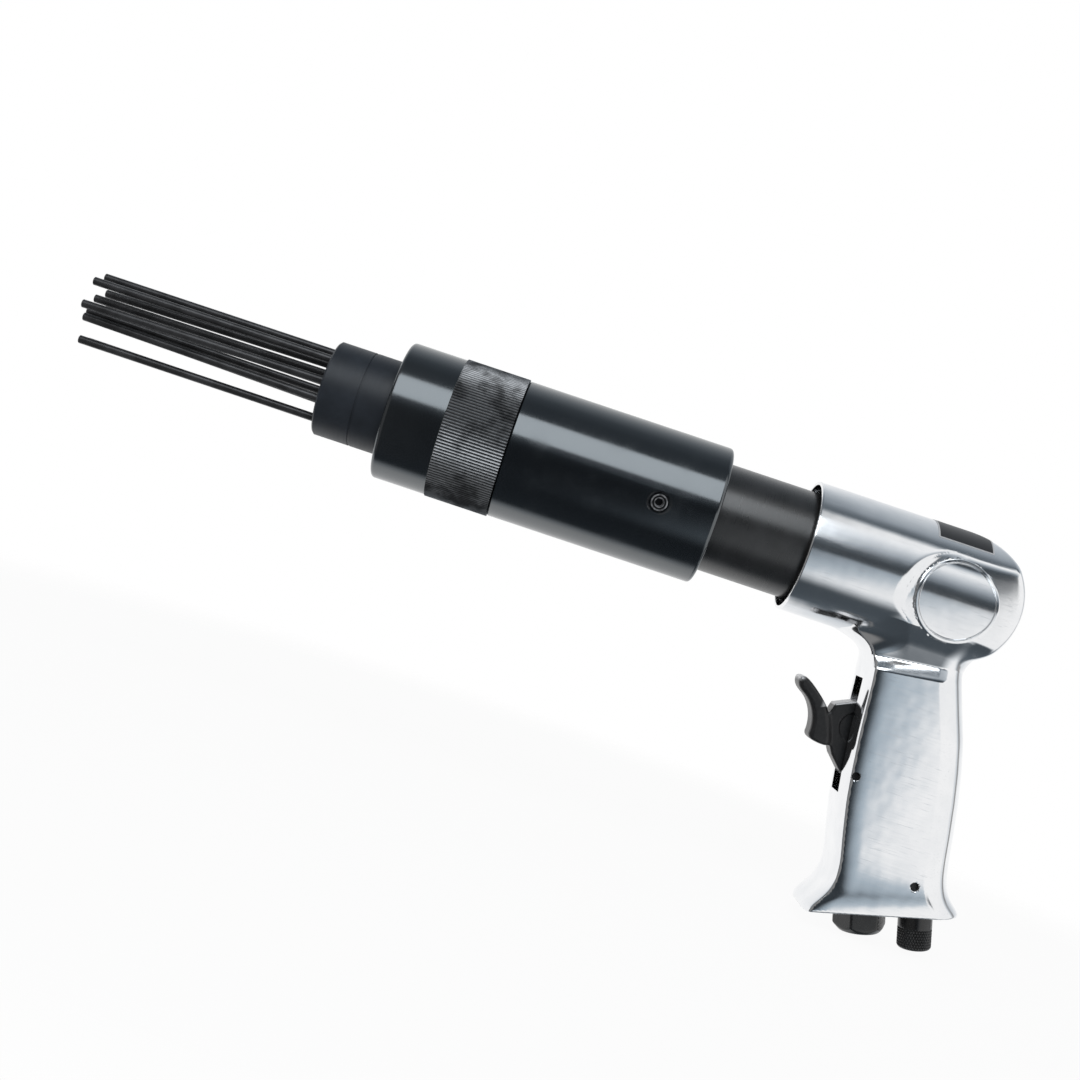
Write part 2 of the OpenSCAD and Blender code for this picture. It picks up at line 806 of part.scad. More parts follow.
// The slot, bores and passages in the grip
module grip_bores() {
    rise = stem_z - air_z;
    run = (bush_front_x + bush_rear_x) / 2 - air_x;
    slot_length = slot_above_pin + slot_below_pin;
    translate([slot_floor_x, -slot_width / 2, pin_z - slot_below_pin])
        cube([grip_depth, slot_width, slot_length]);
    translate([pin_x, 0, pin_z]) bar_y(trigger_pin_d + 2 * fit_clear, 2 * grip_width);
    translate([0, 0, stem_z]) bar_x(2 * throttle_bore_r, throttle_end_x, slot_floor_x + overrun);
    translate([air_x, 0, air_z])
        rotate([0, atan2(-rise, run), 0])
            bar_x(outlet_d, 0, norm([rise, run]));
    translate([inlet_forward, 0, 0]) {
        bar_z(inlet_bush_d + 2 * fit_clear, foot_z - overrun, inlet_top_z);
        bar_z(passage_d, inlet_top_z - overrun, inlet_top_z + passage_d);
    }
    translate([0, 0, inlet_top_z + passage_d / 2]) bar_x(branch_d, -regulator_behind, inlet_forward);
    translate([-regulator_behind, 0, 0]) {
        bar_z(regulator_stem_d + 2 * run_clear, foot_z - overrun, regulator_top_z);
        bar_z(branch_d, regulator_top_z - overrun, stem_z);
    }
    translate([regulator_pin_x, 0, regulator_pin_z])
        bar_y(regulator_pin_d + 2 * fit_clear, 2 * grip_width);
}

module housing() {
    color("#c3c8cd")
        difference() {
            union() {
                barrel_form();
                in_grip() grip_form();
            }
            barrel_bores();
            in_grip() grip_bores();
        }
}

// Trigger and throttle

module trigger() {
    function place(share) = [share[0] * trigger_reach, share[1] * trigger_height];
    color("#1b1c1e")
        in_grip()
            translate([pin_x, 0, pin_z])
                difference() {
                    union() {
                        plate_y(trigger_pad_w) polygon([for (p = pad_shares) place(p)]);
                        plate_y(trigger_web_w)
                            polygon(concat(
                                [[lug_r * cos(45), -lug_r * sin(45)]],
                                [for (p = web_front_shares) place(p)],
                                [
                                    [-trigger_back, stem_above_pin + stem_d],
                                    [-trigger_back, stem_above_pin - stem_d],
                                    [-lug_r, 0]
                                ]
                            ));
                        bar_y(2 * lug_r, trigger_web_w);
                    }
                    bar_y(trigger_pin_d + 2 * run_clear, 2 * trigger_pad_w);
                }
}

module trigger_pin() {
    color("#2c2d30")
        in_grip() translate([pin_x, 0, pin_z]) bar_y(trigger_pin_d, trigger_pin_length);
}

// Places of the seal and the port along the throttle bush
bush_seal_share = 0.25;
bush_port_share = 0.65;
bush_port_d = 2.4;
// Room round the stem behind the bush's port
bush_relief = 1.2;

module throttle_bush() {
    seal_x = bush_front_x - throttle_bush_length * bush_seal_share;
    port_x = bush_front_x - throttle_bush_length * bush_port_share;
    color("#b08d4a")
        in_grip()
            translate([0, 0, stem_z])
                difference() {
                    bar_x(throttle_bush_d, bush_rear_x, bush_front_x);
                    bar_x(stem_d + 2 * run_clear, bush_rear_x - overrun, bush_front_x + overrun);
                    bar_x(stem_d + 2 * bush_relief, bush_rear_x - overrun, port_x + bush_port_d / 2);
                    bush_groove(seal_x);
                    translate([port_x, 0, 0]) bar_z(bush_port_d, -throttle_bush_d, throttle_bush_d);
                }
}

// The groove round the throttle bush for its seal
module bush_groove(x) {
    outer_r = throttle_bush_d / 2;
    floor_r = outer_r - bush_seal_d;
    w = bush_seal_d + 2 * face_gap;
    turned([
        [floor_r, x - w / 2], [outer_r + overrun, x - w / 2],
        [outer_r + overrun, x + w / 2], [floor_r, x + w / 2]
    ]);
}

// A rubber ring about Z
module seal_ring(inner_r, section_d) {
    rotate_extrude() translate([inner_r + section_d / 2, 0]) circle(d = section_d);
}

module throttle_seal() {
    seal_x = bush_front_x - throttle_bush_length * bush_seal_share;
    color("#1d1d1f")
        in_grip()
            translate([seal_x, 0, stem_z])
                rotate([0, 90, 0])
                    seal_ring(throttle_bush_d / 2 - bush_seal_d + face_gap / 2, bush_seal_d - face_gap);
}

module throttle_stem() {
    r = stem_d / 2;
    head_r = stem_head_d / 2;
    peg_r = throttle_spring_r - throttle_wire;
    peg_end = head_rear_x - (throttle_spring_length - stem_travel) / 2;
    color("#8b9095")
        in_grip()
            translate([0, 0, stem_z])
                turned(concat(
                    [
                        [0, peg_end], [peg_r, peg_end], [peg_r, head_rear_x], [head_r, head_rear_x],
                        [head_r, head_front_x], [r, head_front_x]
                    ],
                    rim_arc(0, stem_tip_x - r, r, 0, 90)
                ));
}

module throttle_spring() {
    color("#565a5e")
        in_grip()
            translate([0, 0, stem_z])
                coil(
                    throttle_spring_r, throttle_wire,
                    head_rear_x - face_gap - throttle_spring_length, head_rear_x - face_gap, throttle_turns
                );
}

// Air inlet and regulator

module air_inlet() {
    corner_r = inlet_flats / 2 / cos(30);
    hex_top = foot_z - face_gap;
    hex_bottom = hex_top - inlet_hex_t;
    bevel = corner_r - inlet_flats / 2;
    outer_r = corner_r + face_gap;
    bush_top = foot_z + inlet_bush_length;
    color("#1b1c1e")
        in_grip()
            translate([inlet_forward, 0, 0])
                difference() {
                    union() {
                        intersection() {
                            bar_z_hex(corner_r, hex_bottom, hex_top);
                            rotate_extrude()
                                polygon([
                                    [0, hex_bottom - overrun], [outer_r - 2 * bevel - overrun, hex_bottom - overrun],
                                    [outer_r, hex_bottom + 2 * bevel], [outer_r, hex_top + overrun],
                                    [0, hex_top + overrun]
                                ]);
                        }
                        bar_z(inlet_bush_d, hex_top - edge_break, bush_top);
                    }
                    bar_z(inlet_thread_d, hex_bottom - overrun, hex_bottom + inlet_thread_depth);
                    bar_z(passage_d, hex_bottom, bush_top + overrun);
                }
}

module bar_z_hex(corner_r, from, to) {
    translate([0, 0, from]) cylinder(r = corner_r, h = to - from, $fn = 6);
}

screen_hole_share = 0.16;
screen_ring_share = 0.24;

module inlet_screen() {
    holes = 6;
    hole_d = inlet_bush_d * screen_hole_share;
    ring_r = inlet_bush_d * screen_ring_share;
    color("#b08d4a")
        in_grip()
            translate([inlet_forward, 0, screen_z])
                difference() {
                    cylinder(d = inlet_bush_d, h = screen_t);
                    for (i = [0 : holes])
                        rotate([0, 0, 360 * i / holes])
                            translate([i == holes ? 0 : ring_r, 0, -overrun])
                                cylinder(d = hole_d, h = screen_t + 2 * overrun);
                }
}

port_share = 0.6;
knob_ridge_depth = 0.5;

module regulator() {
    stem_r = regulator_stem_d / 2;
    knob_r = knob_d / 2;
    outer_r = knob_r + face_gap;
    knob_top = foot_z - move_gap;
    knob_bottom = knob_top - knob_length;
    stem_top = foot_z + regulator_stem_length;
    groove_half = regulator_pin_d / 2 + groove_floor_gap;
    seal_half = seal_d / 2 + face_gap;
    port_z = inlet_top_z + passage_d / 2;
    color("#1b1c1e")
        in_grip()
            translate([-regulator_behind, 0, 0])
                difference() {
                    union() {
                        intersection() {
                            translate([0, 0, knob_bottom])
                                ridged_bar(knob_r, knob_r - knob_ridge_depth, knob_ridges, knob_length);
                            rotate_extrude()
                                polygon(concat(
                                    [[0, knob_bottom]],
                                    rim_arc(outer_r - rim_round, knob_bottom + rim_round, rim_round, -90, 0),
                                    [[outer_r, knob_top + overrun], [0, knob_top + overrun]]
                                ));
                        }
                        bar_z(regulator_stem_d, knob_top - edge_break, stem_top);
                    }
                    ring_cut(regulator_groove_r, stem_r, regulator_pin_z, groove_half);
                    ring_cut(stem_r - seal_d, stem_r, seal_z, seal_half);
                    translate([0, 0, port_z]) bar_x(passage_d * port_share, -knob_d, knob_d);
                }
}

// A groove cut round a bar on Z
module ring_cut(floor_r, bar_r, z, half_w) {
    rotate_extrude()
        polygon([
            [floor_r, z - half_w], [bar_r + overrun, z - half_w],
            [bar_r + overrun, z + half_w], [floor_r, z + half_w]
        ]);
}

module regulator_seal() {
    color("#1d1d1f")
        in_grip()
            translate([-regulator_behind, 0, seal_z])
                seal_ring(regulator_stem_d / 2 - seal_d + face_gap / 2, seal_d - face_gap);
}

module regulator_pin() {
    color("#2c2d30")
        in_grip()
            translate([regulator_pin_x, 0, regulator_pin_z])
                bar_y(regulator_pin_d, regulator_pin_length);
}

housing();
cylinder_body();  // cylinder
barrel_sleeve();
sleeve_set_screw();
front_cap();
nose_tube();
needle_holder();
anvil();
anvil_buffer();
return_spring();
piston();
valve_cap();
valve_disc();
valve_case();
trigger();
trigger_pin();
throttle_bush();
throttle_seal();
throttle_stem();
throttle_spring();
air_inlet();
inlet_screen();
regulator();
regulator_seal();
regulator_pin();
for (k = [0 : needle_count - 1])
    needle(k);
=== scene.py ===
# %% [markdown]
# # A pistol-grip needle scaler
# An air tool for chipping off rust and scale. A piston hammers an anvil, and the anvil drives a
# bundle of loose steel needles. The CAD model gives the true sizes and the moving bodies. This
# notebook dresses it: cast and polished aluminium, gloss black steel, a knurled ring and worn
# needles, in the light and from the side of the photograph.

# %% Load the frame
import math
from functools import reduce

import bpy
import numpy as np
from mathutils import Matrix, Vector


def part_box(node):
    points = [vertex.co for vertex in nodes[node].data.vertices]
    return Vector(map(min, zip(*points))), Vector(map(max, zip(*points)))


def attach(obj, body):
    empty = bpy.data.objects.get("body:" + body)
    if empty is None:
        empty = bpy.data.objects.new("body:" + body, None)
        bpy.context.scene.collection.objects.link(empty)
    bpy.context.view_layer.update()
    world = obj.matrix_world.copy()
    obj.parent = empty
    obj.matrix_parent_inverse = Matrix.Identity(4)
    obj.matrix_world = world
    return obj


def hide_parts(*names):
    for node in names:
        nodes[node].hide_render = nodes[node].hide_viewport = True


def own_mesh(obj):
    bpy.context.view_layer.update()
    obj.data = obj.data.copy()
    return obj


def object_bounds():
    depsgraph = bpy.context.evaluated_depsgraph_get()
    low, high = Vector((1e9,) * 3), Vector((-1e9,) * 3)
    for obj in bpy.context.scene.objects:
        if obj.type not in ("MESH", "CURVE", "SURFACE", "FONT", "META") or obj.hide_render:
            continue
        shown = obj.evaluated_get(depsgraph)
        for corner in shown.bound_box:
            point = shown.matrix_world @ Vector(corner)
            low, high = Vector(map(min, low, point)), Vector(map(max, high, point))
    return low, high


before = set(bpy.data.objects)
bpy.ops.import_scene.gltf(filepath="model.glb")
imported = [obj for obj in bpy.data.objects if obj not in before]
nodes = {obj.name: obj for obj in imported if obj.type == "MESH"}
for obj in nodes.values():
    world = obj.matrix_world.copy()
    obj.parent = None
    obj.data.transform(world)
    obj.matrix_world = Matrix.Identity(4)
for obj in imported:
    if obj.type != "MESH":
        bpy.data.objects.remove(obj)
cad_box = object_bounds()
MM = 0.001
print("CAD box in mm", [[round(v / MM, 1) for v in corner] for corner in cad_box])

# %% [markdown]
# ## The camera
# The tool is seen squarely from its left side, from about half a metre, with the nose tilted up to
# the left. The tilt is a roll of the camera, because the tool itself stays level in its own frame.
# The camera could be aimed with a Track To constraint, but a matrix of its three axes says the same
# thing exactly, and it can be read off the photograph.

# %% Camera
ROLL = math.radians(18.48)
CAMERA_FOOT = Vector((-0.0563, 0.0, -0.0285))
CAMERA_DISTANCE = 0.520
LENS, SENSOR_WIDTH, NEAR_LIMIT = 46.8, 36.0, 0.01


def put_in_scene(name, data):
    """A new object with its data, in the scene."""
    thing = bpy.data.objects.new(name, data)
    bpy.context.scene.collection.objects.link(thing)
    return thing


camera_data = bpy.data.cameras.new("camera")
camera_data.lens = LENS
camera_data.sensor_width = SENSOR_WIDTH
camera_data.clip_start = NEAR_LIMIT
camera = put_in_scene("camera", camera_data)
right = Vector((-math.cos(ROLL), 0.0, math.sin(ROLL)))
up = Vector((math.sin(ROLL), 0.0, math.cos(ROLL)))
back = Vector((0.0, 1.0, 0.0))
turn = Matrix((right, up, back)).transposed().to_4x4()
camera.matrix_world = Matrix.Translation(CAMERA_FOOT + CAMERA_DISTANCE * back) @ turn
bpy.context.scene.camera = camera
bpy.context.scene.view_settings.view_transform = "Standard"
print("camera at", [round(v, 4) for v in camera.matrix_world.translation])

# %% [markdown]
# ## Shader maths as arithmetic
# A finish is a small calculation: a mask times a colour, plus some noise. Node by node that takes
# many lines, so one class wraps an output socket and gives it the usual operators. `1 - mask` then
# adds a Math node, and the sum reads as a sum. Colours go through Mix nodes, because a Math node
# would turn them grey. Every node is made by `add_node`: its settings first, then its sockets.

# %% Wires
class Wire:
    """An output socket that can be added, multiplied and compared."""

    def __init__(self, socket):
        self.socket = socket
        self.tree = socket.id_data

    def __add__(self, other):
        return maths("ADD", self, other)

    def __sub__(self, other):
        return maths("SUBTRACT", self, other)

    def __rsub__(self, other):
        return maths("SUBTRACT", other, self)

    def __mul__(self, other):
        return maths("MULTIPLY", self, other)

    def __truediv__(self, other):
        return maths("DIVIDE", self, other)

    def __rtruediv__(self, other):
        return maths("DIVIDE", other, self)

    def __abs__(self):
        return maths("ABSOLUTE", self)

    __radd__ = __add__
    __rmul__ = __mul__

    def between(self, low, high):
        """0 below low, 1 above high, and a smooth step between them."""
        limits = {"Value": self, "From Min": low, "From Max": high}
        return add_node(self.tree, "ShaderNodeMapRange", {"interpolation_type": "SMOOTHSTEP"}, limits)


print("wires ready")

# %% Nodes
MIX_FACTOR, MIX_LOW, MIX_HIGH, MIX_RESULT = 0, 6, 7, 2


def plug(tree, socket, value):
    """Link a wire to a socket, or set the socket's own value."""
    if isinstance(value, Wire):
        tree.links.new(value.socket, socket)
    else:
        socket.default_value = value


def set_stops(elements, stops):
    """Give a colour ramp its stops, each a position and a colour."""
    while len(elements) < len(stops):
        elements.new(0.5)
    for element, (position, colour) in zip(elements, stops):
        element.position = position
        element.color = colour


def add_node(tree, kind, settings=None, sockets=None, output=0):
    """Add a node, set it up, feed its sockets, and return one of its outputs, if it has any."""
    node = tree.nodes.new(kind)
    for name, value in (settings or {}).items():
        if name == "stops":
            set_stops(node.color_ramp.elements, value)
        else:
            setattr(node, name, value)
    for key, value in (sockets or {}).items():
        plug(tree, node.inputs[key], value)
    return Wire(node.outputs[output]) if node.outputs else None


def maths(operation, *values):
    tree = next(v for v in values if isinstance(v, Wire)).tree
    return add_node(tree, "ShaderNodeMath", {"operation": operation}, dict(enumerate(values)))


def mix_colour(mask, low, high):
    """The colour low where the mask is 0, and high where it is 1."""
    low, high = (c if isinstance(c, Wire) else (*c, 1.0) for c in (low, high))
    ends = {MIX_FACTOR: mask, MIX_LOW: low, MIX_HIGH: high}
    return add_node(mask.tree, "ShaderNodeMix", {"data_type": "RGBA"}, ends, MIX_RESULT)


def axes_of(vector):
    """The x, y and z of a vector, each as a wire."""
    split = add_node(vector.tree, "ShaderNodeSeparateXYZ", None, {0: vector}).socket.node
    return [Wire(socket) for socket in split.outputs]


print("node helpers ready")

# %% [markdown]
# ## Studio light
# The long pale band on every round surface is one large softbox, up in front of the tool. The rest
# of the room is seen only in the reflections: white behind the tool, grey in front of it and dark
# below it. Many cards could stand round the tool, but a world with a ramp over the angle does the
# same, and has no edges or noise. What lights dull surfaces is an even grey.

# %% Softbox
SOFTBOX_ANGLE = math.radians(39.5)
SOFTBOX_DISTANCE = 1.0
SOFTBOX_X = 0.066
SOFTBOX_SIZE = (0.768, 0.64)
SOFTBOX_RADIANCE = 2.6
SOFTBOX_COLOUR = (0.93, 0.97, 1.0)

softbox_data = bpy.data.lights.new("softbox", "AREA")
softbox_data.shape = "RECTANGLE"
softbox_data.size, softbox_data.size_y = SOFTBOX_SIZE
softbox_data.color = SOFTBOX_COLOUR
softbox_data.energy = SOFTBOX_RADIANCE * math.pi * SOFTBOX_SIZE[0] * SOFTBOX_SIZE[1]
softbox = put_in_scene("softbox", softbox_data)
towards = Vector((0.0, math.cos(SOFTBOX_ANGLE), math.sin(SOFTBOX_ANGLE)))
softbox.location = Vector((SOFTBOX_X, 0.0, 0.0)) + SOFTBOX_DISTANCE * towards
softbox.rotation_euler = (math.pi / 2 - SOFTBOX_ANGLE, 0.0, math.pi)
softbox.visible_camera = False
print("softbox power in W", round(softbox_data.energy, 2))

# %% Room
ROOM_TINT = (0.68, 0.84, 1.0)
ROOM_RAMP = [
    (-180, 1.0), (-113, 1.0), (-105, 0.7), (-97, 0.09), (-58, 0.06), (-38, 0.05), (-19, 0.04),
    (0, 0.04), (9, 0.06), (18, 0.2), (56, 0.22), (68, 0.17), (84, 0.17), (102, 0.26), (120, 0.55),
    (138, 0.85), (155, 0.95), (180, 1.0),
]
HOUSING_RAMP = [
    (-180, 1.0), (-128, 0.75), (-108, 0.14), (-81, 0.09), (-58, 0.085), (-38, 0.08), (-19, 0.07),
    (0, 0.065), (9, 0.05), (18, 0.07), (22, 0.13), (30, 0.32), (41, 0.62), (52, 0.9), (58, 0.97),
    (68, 0.97), (73, 0.35), (77, 0.1), (84, 0.2), (94, 0.4), (119, 0.6), (147, 0.78), (180, 1.0),
]
HOUSING_SIDE = (-0.21, -0.15)

world = bpy.data.worlds.new("room")
bpy.context.scene.world = world
world.use_nodes = True
room = world.node_tree
room.nodes.clear()
way_x, way_y, way_z = axes_of(add_node(room, "ShaderNodeTexCoord"))
height = maths("ARCTAN2", way_z, way_y) / (2 * math.pi) + 0.5


def room_levels(ramp):
    """Bluish greys over the height angle, from straight behind, under the tool, and back over it."""
    stops = []
    for angle, level in ramp:
        colour = (*(level * (tint + (1 - tint) * level) for tint in ROOM_TINT), 1.0)
        stops.append(((angle + 180) / 360, colour))
    return add_node(room, "ShaderNodeValToRGB", {"stops": stops}, {0: height})


on_nose_side = way_x.between(*HOUSING_SIDE)
round_room = mix_colour(on_nose_side, room_levels(HOUSING_RAMP), room_levels(ROOM_RAMP))
print("room ramps have", len(ROOM_RAMP), "and", len(HOUSING_RAMP), "stops")

# %% [markdown]
# ### Cards in the room
# The flat panel of the grip mirrors one small patch of the room, so its light and dark fields are cards:
# a white one at the right with a slanting edge and a soft halo, a mid grey at the left, and a narrow grey
# gap behind the white one. Planes with glowing materials could stand there, but masks on the way that a
# reflection goes keep the world in one place and cast no shadows.

# %% Cards
LEFT_GREY, LEFT_X, LEFT_Y = 0.22, (0.1, 0.24), (-0.1, 0.3)
GAP_GREY, GAP_X, GAP_Y_NEAR, GAP_Y_FAR = 0.32, (-0.9, -0.75), (-0.2, -0.1), (-0.36, -0.28)
CARD_WHITE, CARD_SOFT = (0.96, 0.96, 0.96), (-0.06, 0.06)
CARD_HALO, HALO_SOFT = (0.44, 0.52, 0.59), (-1.1, 0.05)
CARD_EDGE, CARD_FOOT, CARD_BACK = (6.1, -1.78), (-0.88, -0.6), (-0.2, 0.1)
CARD_TOP, CARD_TOP_X, CARD_TOP_RISE = (0.045, 0.085), 0.32, 0.45
CARD_FAR_SIDE, CARD_FAR_RISE = (-0.68, -0.45), 0.5

card_side = CARD_EDGE[1] - way_x * CARD_EDGE[0] - way_z
far_side = 1 - way_x.between(*CARD_FAR_SIDE)
card_top = way_z + (way_x + CARD_TOP_X) * CARD_TOP_RISE - far_side * CARD_FAR_RISE
below_top = (1 - card_top.between(*CARD_TOP)) * way_z.between(*CARD_FOOT) * way_y.between(*CARD_BACK)
halo = mix_colour(card_side.between(*HALO_SOFT) * below_top, round_room, CARD_HALO)
card = mix_colour(card_side.between(*CARD_SOFT) * below_top, halo, CARD_WHITE)
left = way_x.between(*LEFT_X) * way_y.between(*LEFT_Y)
gap = way_y.between(*GAP_Y_FAR) * (1 - way_y.between(*GAP_Y_NEAR)) * (1 - way_x.between(*GAP_X))
sides = mix_colour(gap, mix_colour(left, card, (LEFT_GREY,) * 3), (GAP_GREY,) * 3)
print("cards of level", CARD_WHITE[0], LEFT_GREY, "and", GAP_GREY)

# %% What each kind of ray sees
AMBIENT = 0.35
WHITE = (1.0, 1.0, 1.0)
RAYS = ("Is Camera Ray", "Is Transmission Ray", "Is Glossy Ray")

light_path = add_node(room, "ShaderNodeLightPath").socket.node
seen, through, glossy = (Wire(light_path.outputs[ray]) for ray in RAYS)
level = mix_colour(glossy, (AMBIENT,) * 3, sides)
level = mix_colour(maths("MAXIMUM", seen, through), level, WHITE)
background = add_node(room, "ShaderNodeBackground", None, {"Color": level})
add_node(room, "ShaderNodeOutputWorld", None, {"Surface": background})
print("room has", len(room.nodes), "nodes")

# %% [markdown]
# ## Floor
# The floor is plain and pale, and lies just under the lowest point of the tool. It is white to the
# camera, as in the photograph, and it keeps a faint soft shadow: most of its white is its own glow,
# and the rest is a matt surface under the softbox. Away from the tool it fades into the white room,
# so that no horizon shows.

# %% Floor
FLOOR_GLOW = 0.94
FLOOR_GREY = (0.9, 0.9, 0.9, 1.0)
FLOOR_SIZE, FLOOR_DROP = 2.0, 0.5 * MM
FLOOR_FADE = (0.75, 1.1)
FLOOR_SHIFT, FLOOR_REACH = (0.06, 0.0), (0.42, 0.34)


def bare_material(name):
    """A material with an empty node tree."""
    material = bpy.data.materials.new(name)
    material.use_nodes = True
    material.node_tree.nodes.clear()
    return material, material.node_tree


def mix_shader(mask, low, high):
    return add_node(mask.tree, "ShaderNodeMixShader", None, {0: mask, 1: low, 2: high})


floor_mesh = bpy.data.meshes.new("floor")
half = FLOOR_SIZE / 2
floor_z = cad_box[0][2] - FLOOR_DROP
corners = [(-half, -half, floor_z), (half, -half, floor_z), (half, half, floor_z), (-half, half, floor_z)]
floor_mesh.from_pydata(corners, [], [(0, 1, 2, 3)])
floor = put_in_scene("floor", floor_mesh)
pale, tree = bare_material("pale_floor")
matt = add_node(tree, "ShaderNodeBsdfDiffuse", None, {"Color": FLOOR_GREY})
glow = add_node(tree, "ShaderNodeEmission", None, {"Color": (*WHITE, 1.0)})
clear = add_node(tree, "ShaderNodeBsdfTransparent")
seen = add_node(tree, "ShaderNodeLightPath", output="Is Camera Ray")
spot = axes_of(add_node(tree, "ShaderNodeTexCoord", output="Object"))
along, across = ((axis + shift) / reach for axis, shift, reach in zip(spot, FLOOR_SHIFT, FLOOR_REACH))
far = maths("SQRT", along * along + across * across).between(*FLOOR_FADE)
lit = mix_shader(seen * FLOOR_GLOW, matt, glow)
add_node(tree, "ShaderNodeOutputMaterial", None, {"Surface": mix_shader(far, lit, clear)})
floor_mesh.materials.append(pale)
floor.visible_glossy = False
print("floor at mm", round(floor_z / MM, 2))

# %% [markdown]
# ## Finishes
# Every finish starts from the same shader. What it needs from the surface is its place in the
# tool's own frame, so that streaks run along the barrel and stay put when a piece moves. An image
# would need unwrapping; noise that is read at the place in mm has its true size on every piece.

# %% Finish helpers
GRAIN_ROUGHNESS = 0.55


def stretched(place, x, y, z):
    """The place scaled by each axis, for a grain that is longer one way."""
    return add_node(place.tree, "ShaderNodeVectorMath", {"operation": "MULTIPLY"}, {0: place, 1: (x, y, z)})


def begin_finish(name):
    """A new material with its shader, and the wire of the surface's place in mm."""
    material, tree = bare_material(name)
    shader = add_node(tree, "ShaderNodeBsdfPrincipled")
    add_node(tree, "ShaderNodeOutputMaterial", None, {"Surface": shader})
    place = stretched(add_node(tree, "ShaderNodeTexCoord", output="Object"), 1 / MM, 1 / MM, 1 / MM)
    return material, shader.socket.node, place


def grain(place, scale, detail=3.0):
    """Noise from 0 to 1 at a scale of features per mm."""
    sockets = {"Vector": place, "Scale": scale, "Detail": detail, "Roughness": GRAIN_ROUGHNESS}
    return add_node(place.tree, "ShaderNodeTexNoise", None, sockets)


def feed(shader, **values):
    """Link or set the shader's sockets, written with _ for a space."""
    for name, value in values.items():
        plug(shader.id_data, shader.inputs[name.replace("_", " ")], value)


def bump(shader, height, strength, depth):
    """Raise the surface by a height times depth, in mm."""
    sockets = {"Strength": strength, "Distance": depth * MM, "Height": height}
    feed(shader, Normal=add_node(shader.id_data, "ShaderNodeBump", None, sockets))


print("finish helpers ready")

# %% [markdown]
# ### Polished cast aluminium
# The housing is a sand casting that was ground and buffed by hand. It mirrors the room, but long fine
# streaks from the buffing wheel blur it along the barrel, and the surface still waves a little. The
# blur could come from anisotropy, but streaked roughness shows the single strokes. The barrel is a little
# duller than the grip.

# %% Cast aluminium
BUFFED, BUFFED_PALE, SCRATCHED = (0.85, 0.86, 0.875), (0.90, 0.905, 0.915), (0.62, 0.64, 0.67)
BARREL_FOOT = (-22.0, -12.0)


def cast_aluminium():
    material, shader, place = begin_finish("cast_aluminium")
    streaks = grain(stretched(place, 0.05, 1.4, 1.4), 1.0, 4.0)
    clouds = grain(place, 0.11, 2.0)
    scratches = grain(stretched(place, 0.12, 3.2, 3.2), 1.0, 2.0).between(0.62, 0.72)
    on_barrel = axes_of(place)[2].between(*BARREL_FOOT)
    colour = mix_colour(clouds.between(0.3, 0.7), BUFFED, BUFFED_PALE)
    feed(shader, Base_Color=mix_colour(scratches * 0.35, colour, SCRATCHED), Metallic=1.0)
    feed(shader, Roughness=0.05 + on_barrel * 0.05 + streaks * 0.08 + scratches * 0.06)
    bump(shader, streaks * 0.02 + grain(place, 0.13, 1.0) * 0.3, 0.5, 0.2)
    return material


aluminium = cast_aluminium()
print("made", aluminium.name)

# %% [markdown]
# ### Gloss black steel
# The sleeve and the front cap are blued and oiled to a deep gloss with a blue cast. A clear coat could
# give the gloss, but a dark base under the shader's own gloss shows the same clear band of the softbox,
# and a faint haze of fine turning marks and handling keeps it from looking like glass.

# %% Gloss black steel
BLUED, BLUED_PALE = (0.003, 0.0036, 0.0046), (0.006, 0.0072, 0.0090)
BLACK_IOR, BLUED_SPECULAR, BLUED_TINT = 2.0, 0.6, (0.9, 0.96, 1.0, 1.0)


def gloss_black_steel():
    material, shader, place = begin_finish("gloss_black_steel")
    turning = grain(stretched(place, 3.0, 0.12, 0.12), 1.0)
    haze = grain(place, 0.09)
    feed(shader, Base_Color=mix_colour(haze, BLUED, BLUED_PALE))
    feed(shader, Roughness=0.11 + turning * 0.07 + haze.between(0.45, 0.75) * 0.06)
    feed(shader, IOR=BLACK_IOR, Specular_IOR_Level=BLUED_SPECULAR, Specular_Tint=BLUED_TINT)
    bump(shader, turning * 0.02 + grain(place, 0.05, 1.0) * 0.4, 0.3, 0.2)
    return material


gloss_black = gloss_black_steel()
print("made", gloss_black.name)

# %% [markdown]
# ### Knurled cap
# The cap is the same blued steel, but the knurl round its rear half is worn by hands: its ridges have
# lost their black in patches and show dull grey steel. The valleys are painted shade: near-black metal
# that reflects almost nothing. A mask could be painted by hand, but the ridges are in the CAD model,
# so the finish only needs to know how far a point lies from the axis.

# %% Knurled cap
KNURL_EDGE, KNURL_EDGE_SOFT = -10.5, 0.2
RIDGE_FOOT, RIDGE_TOP = 26.05, 26.42
# The valley colour is painted shade: near-black metal for the knurl's valleys.
VALLEY_SHADE_BLACK, RUBBED_STEEL = (0.014, 0.014, 0.015), (0.36, 0.365, 0.375)


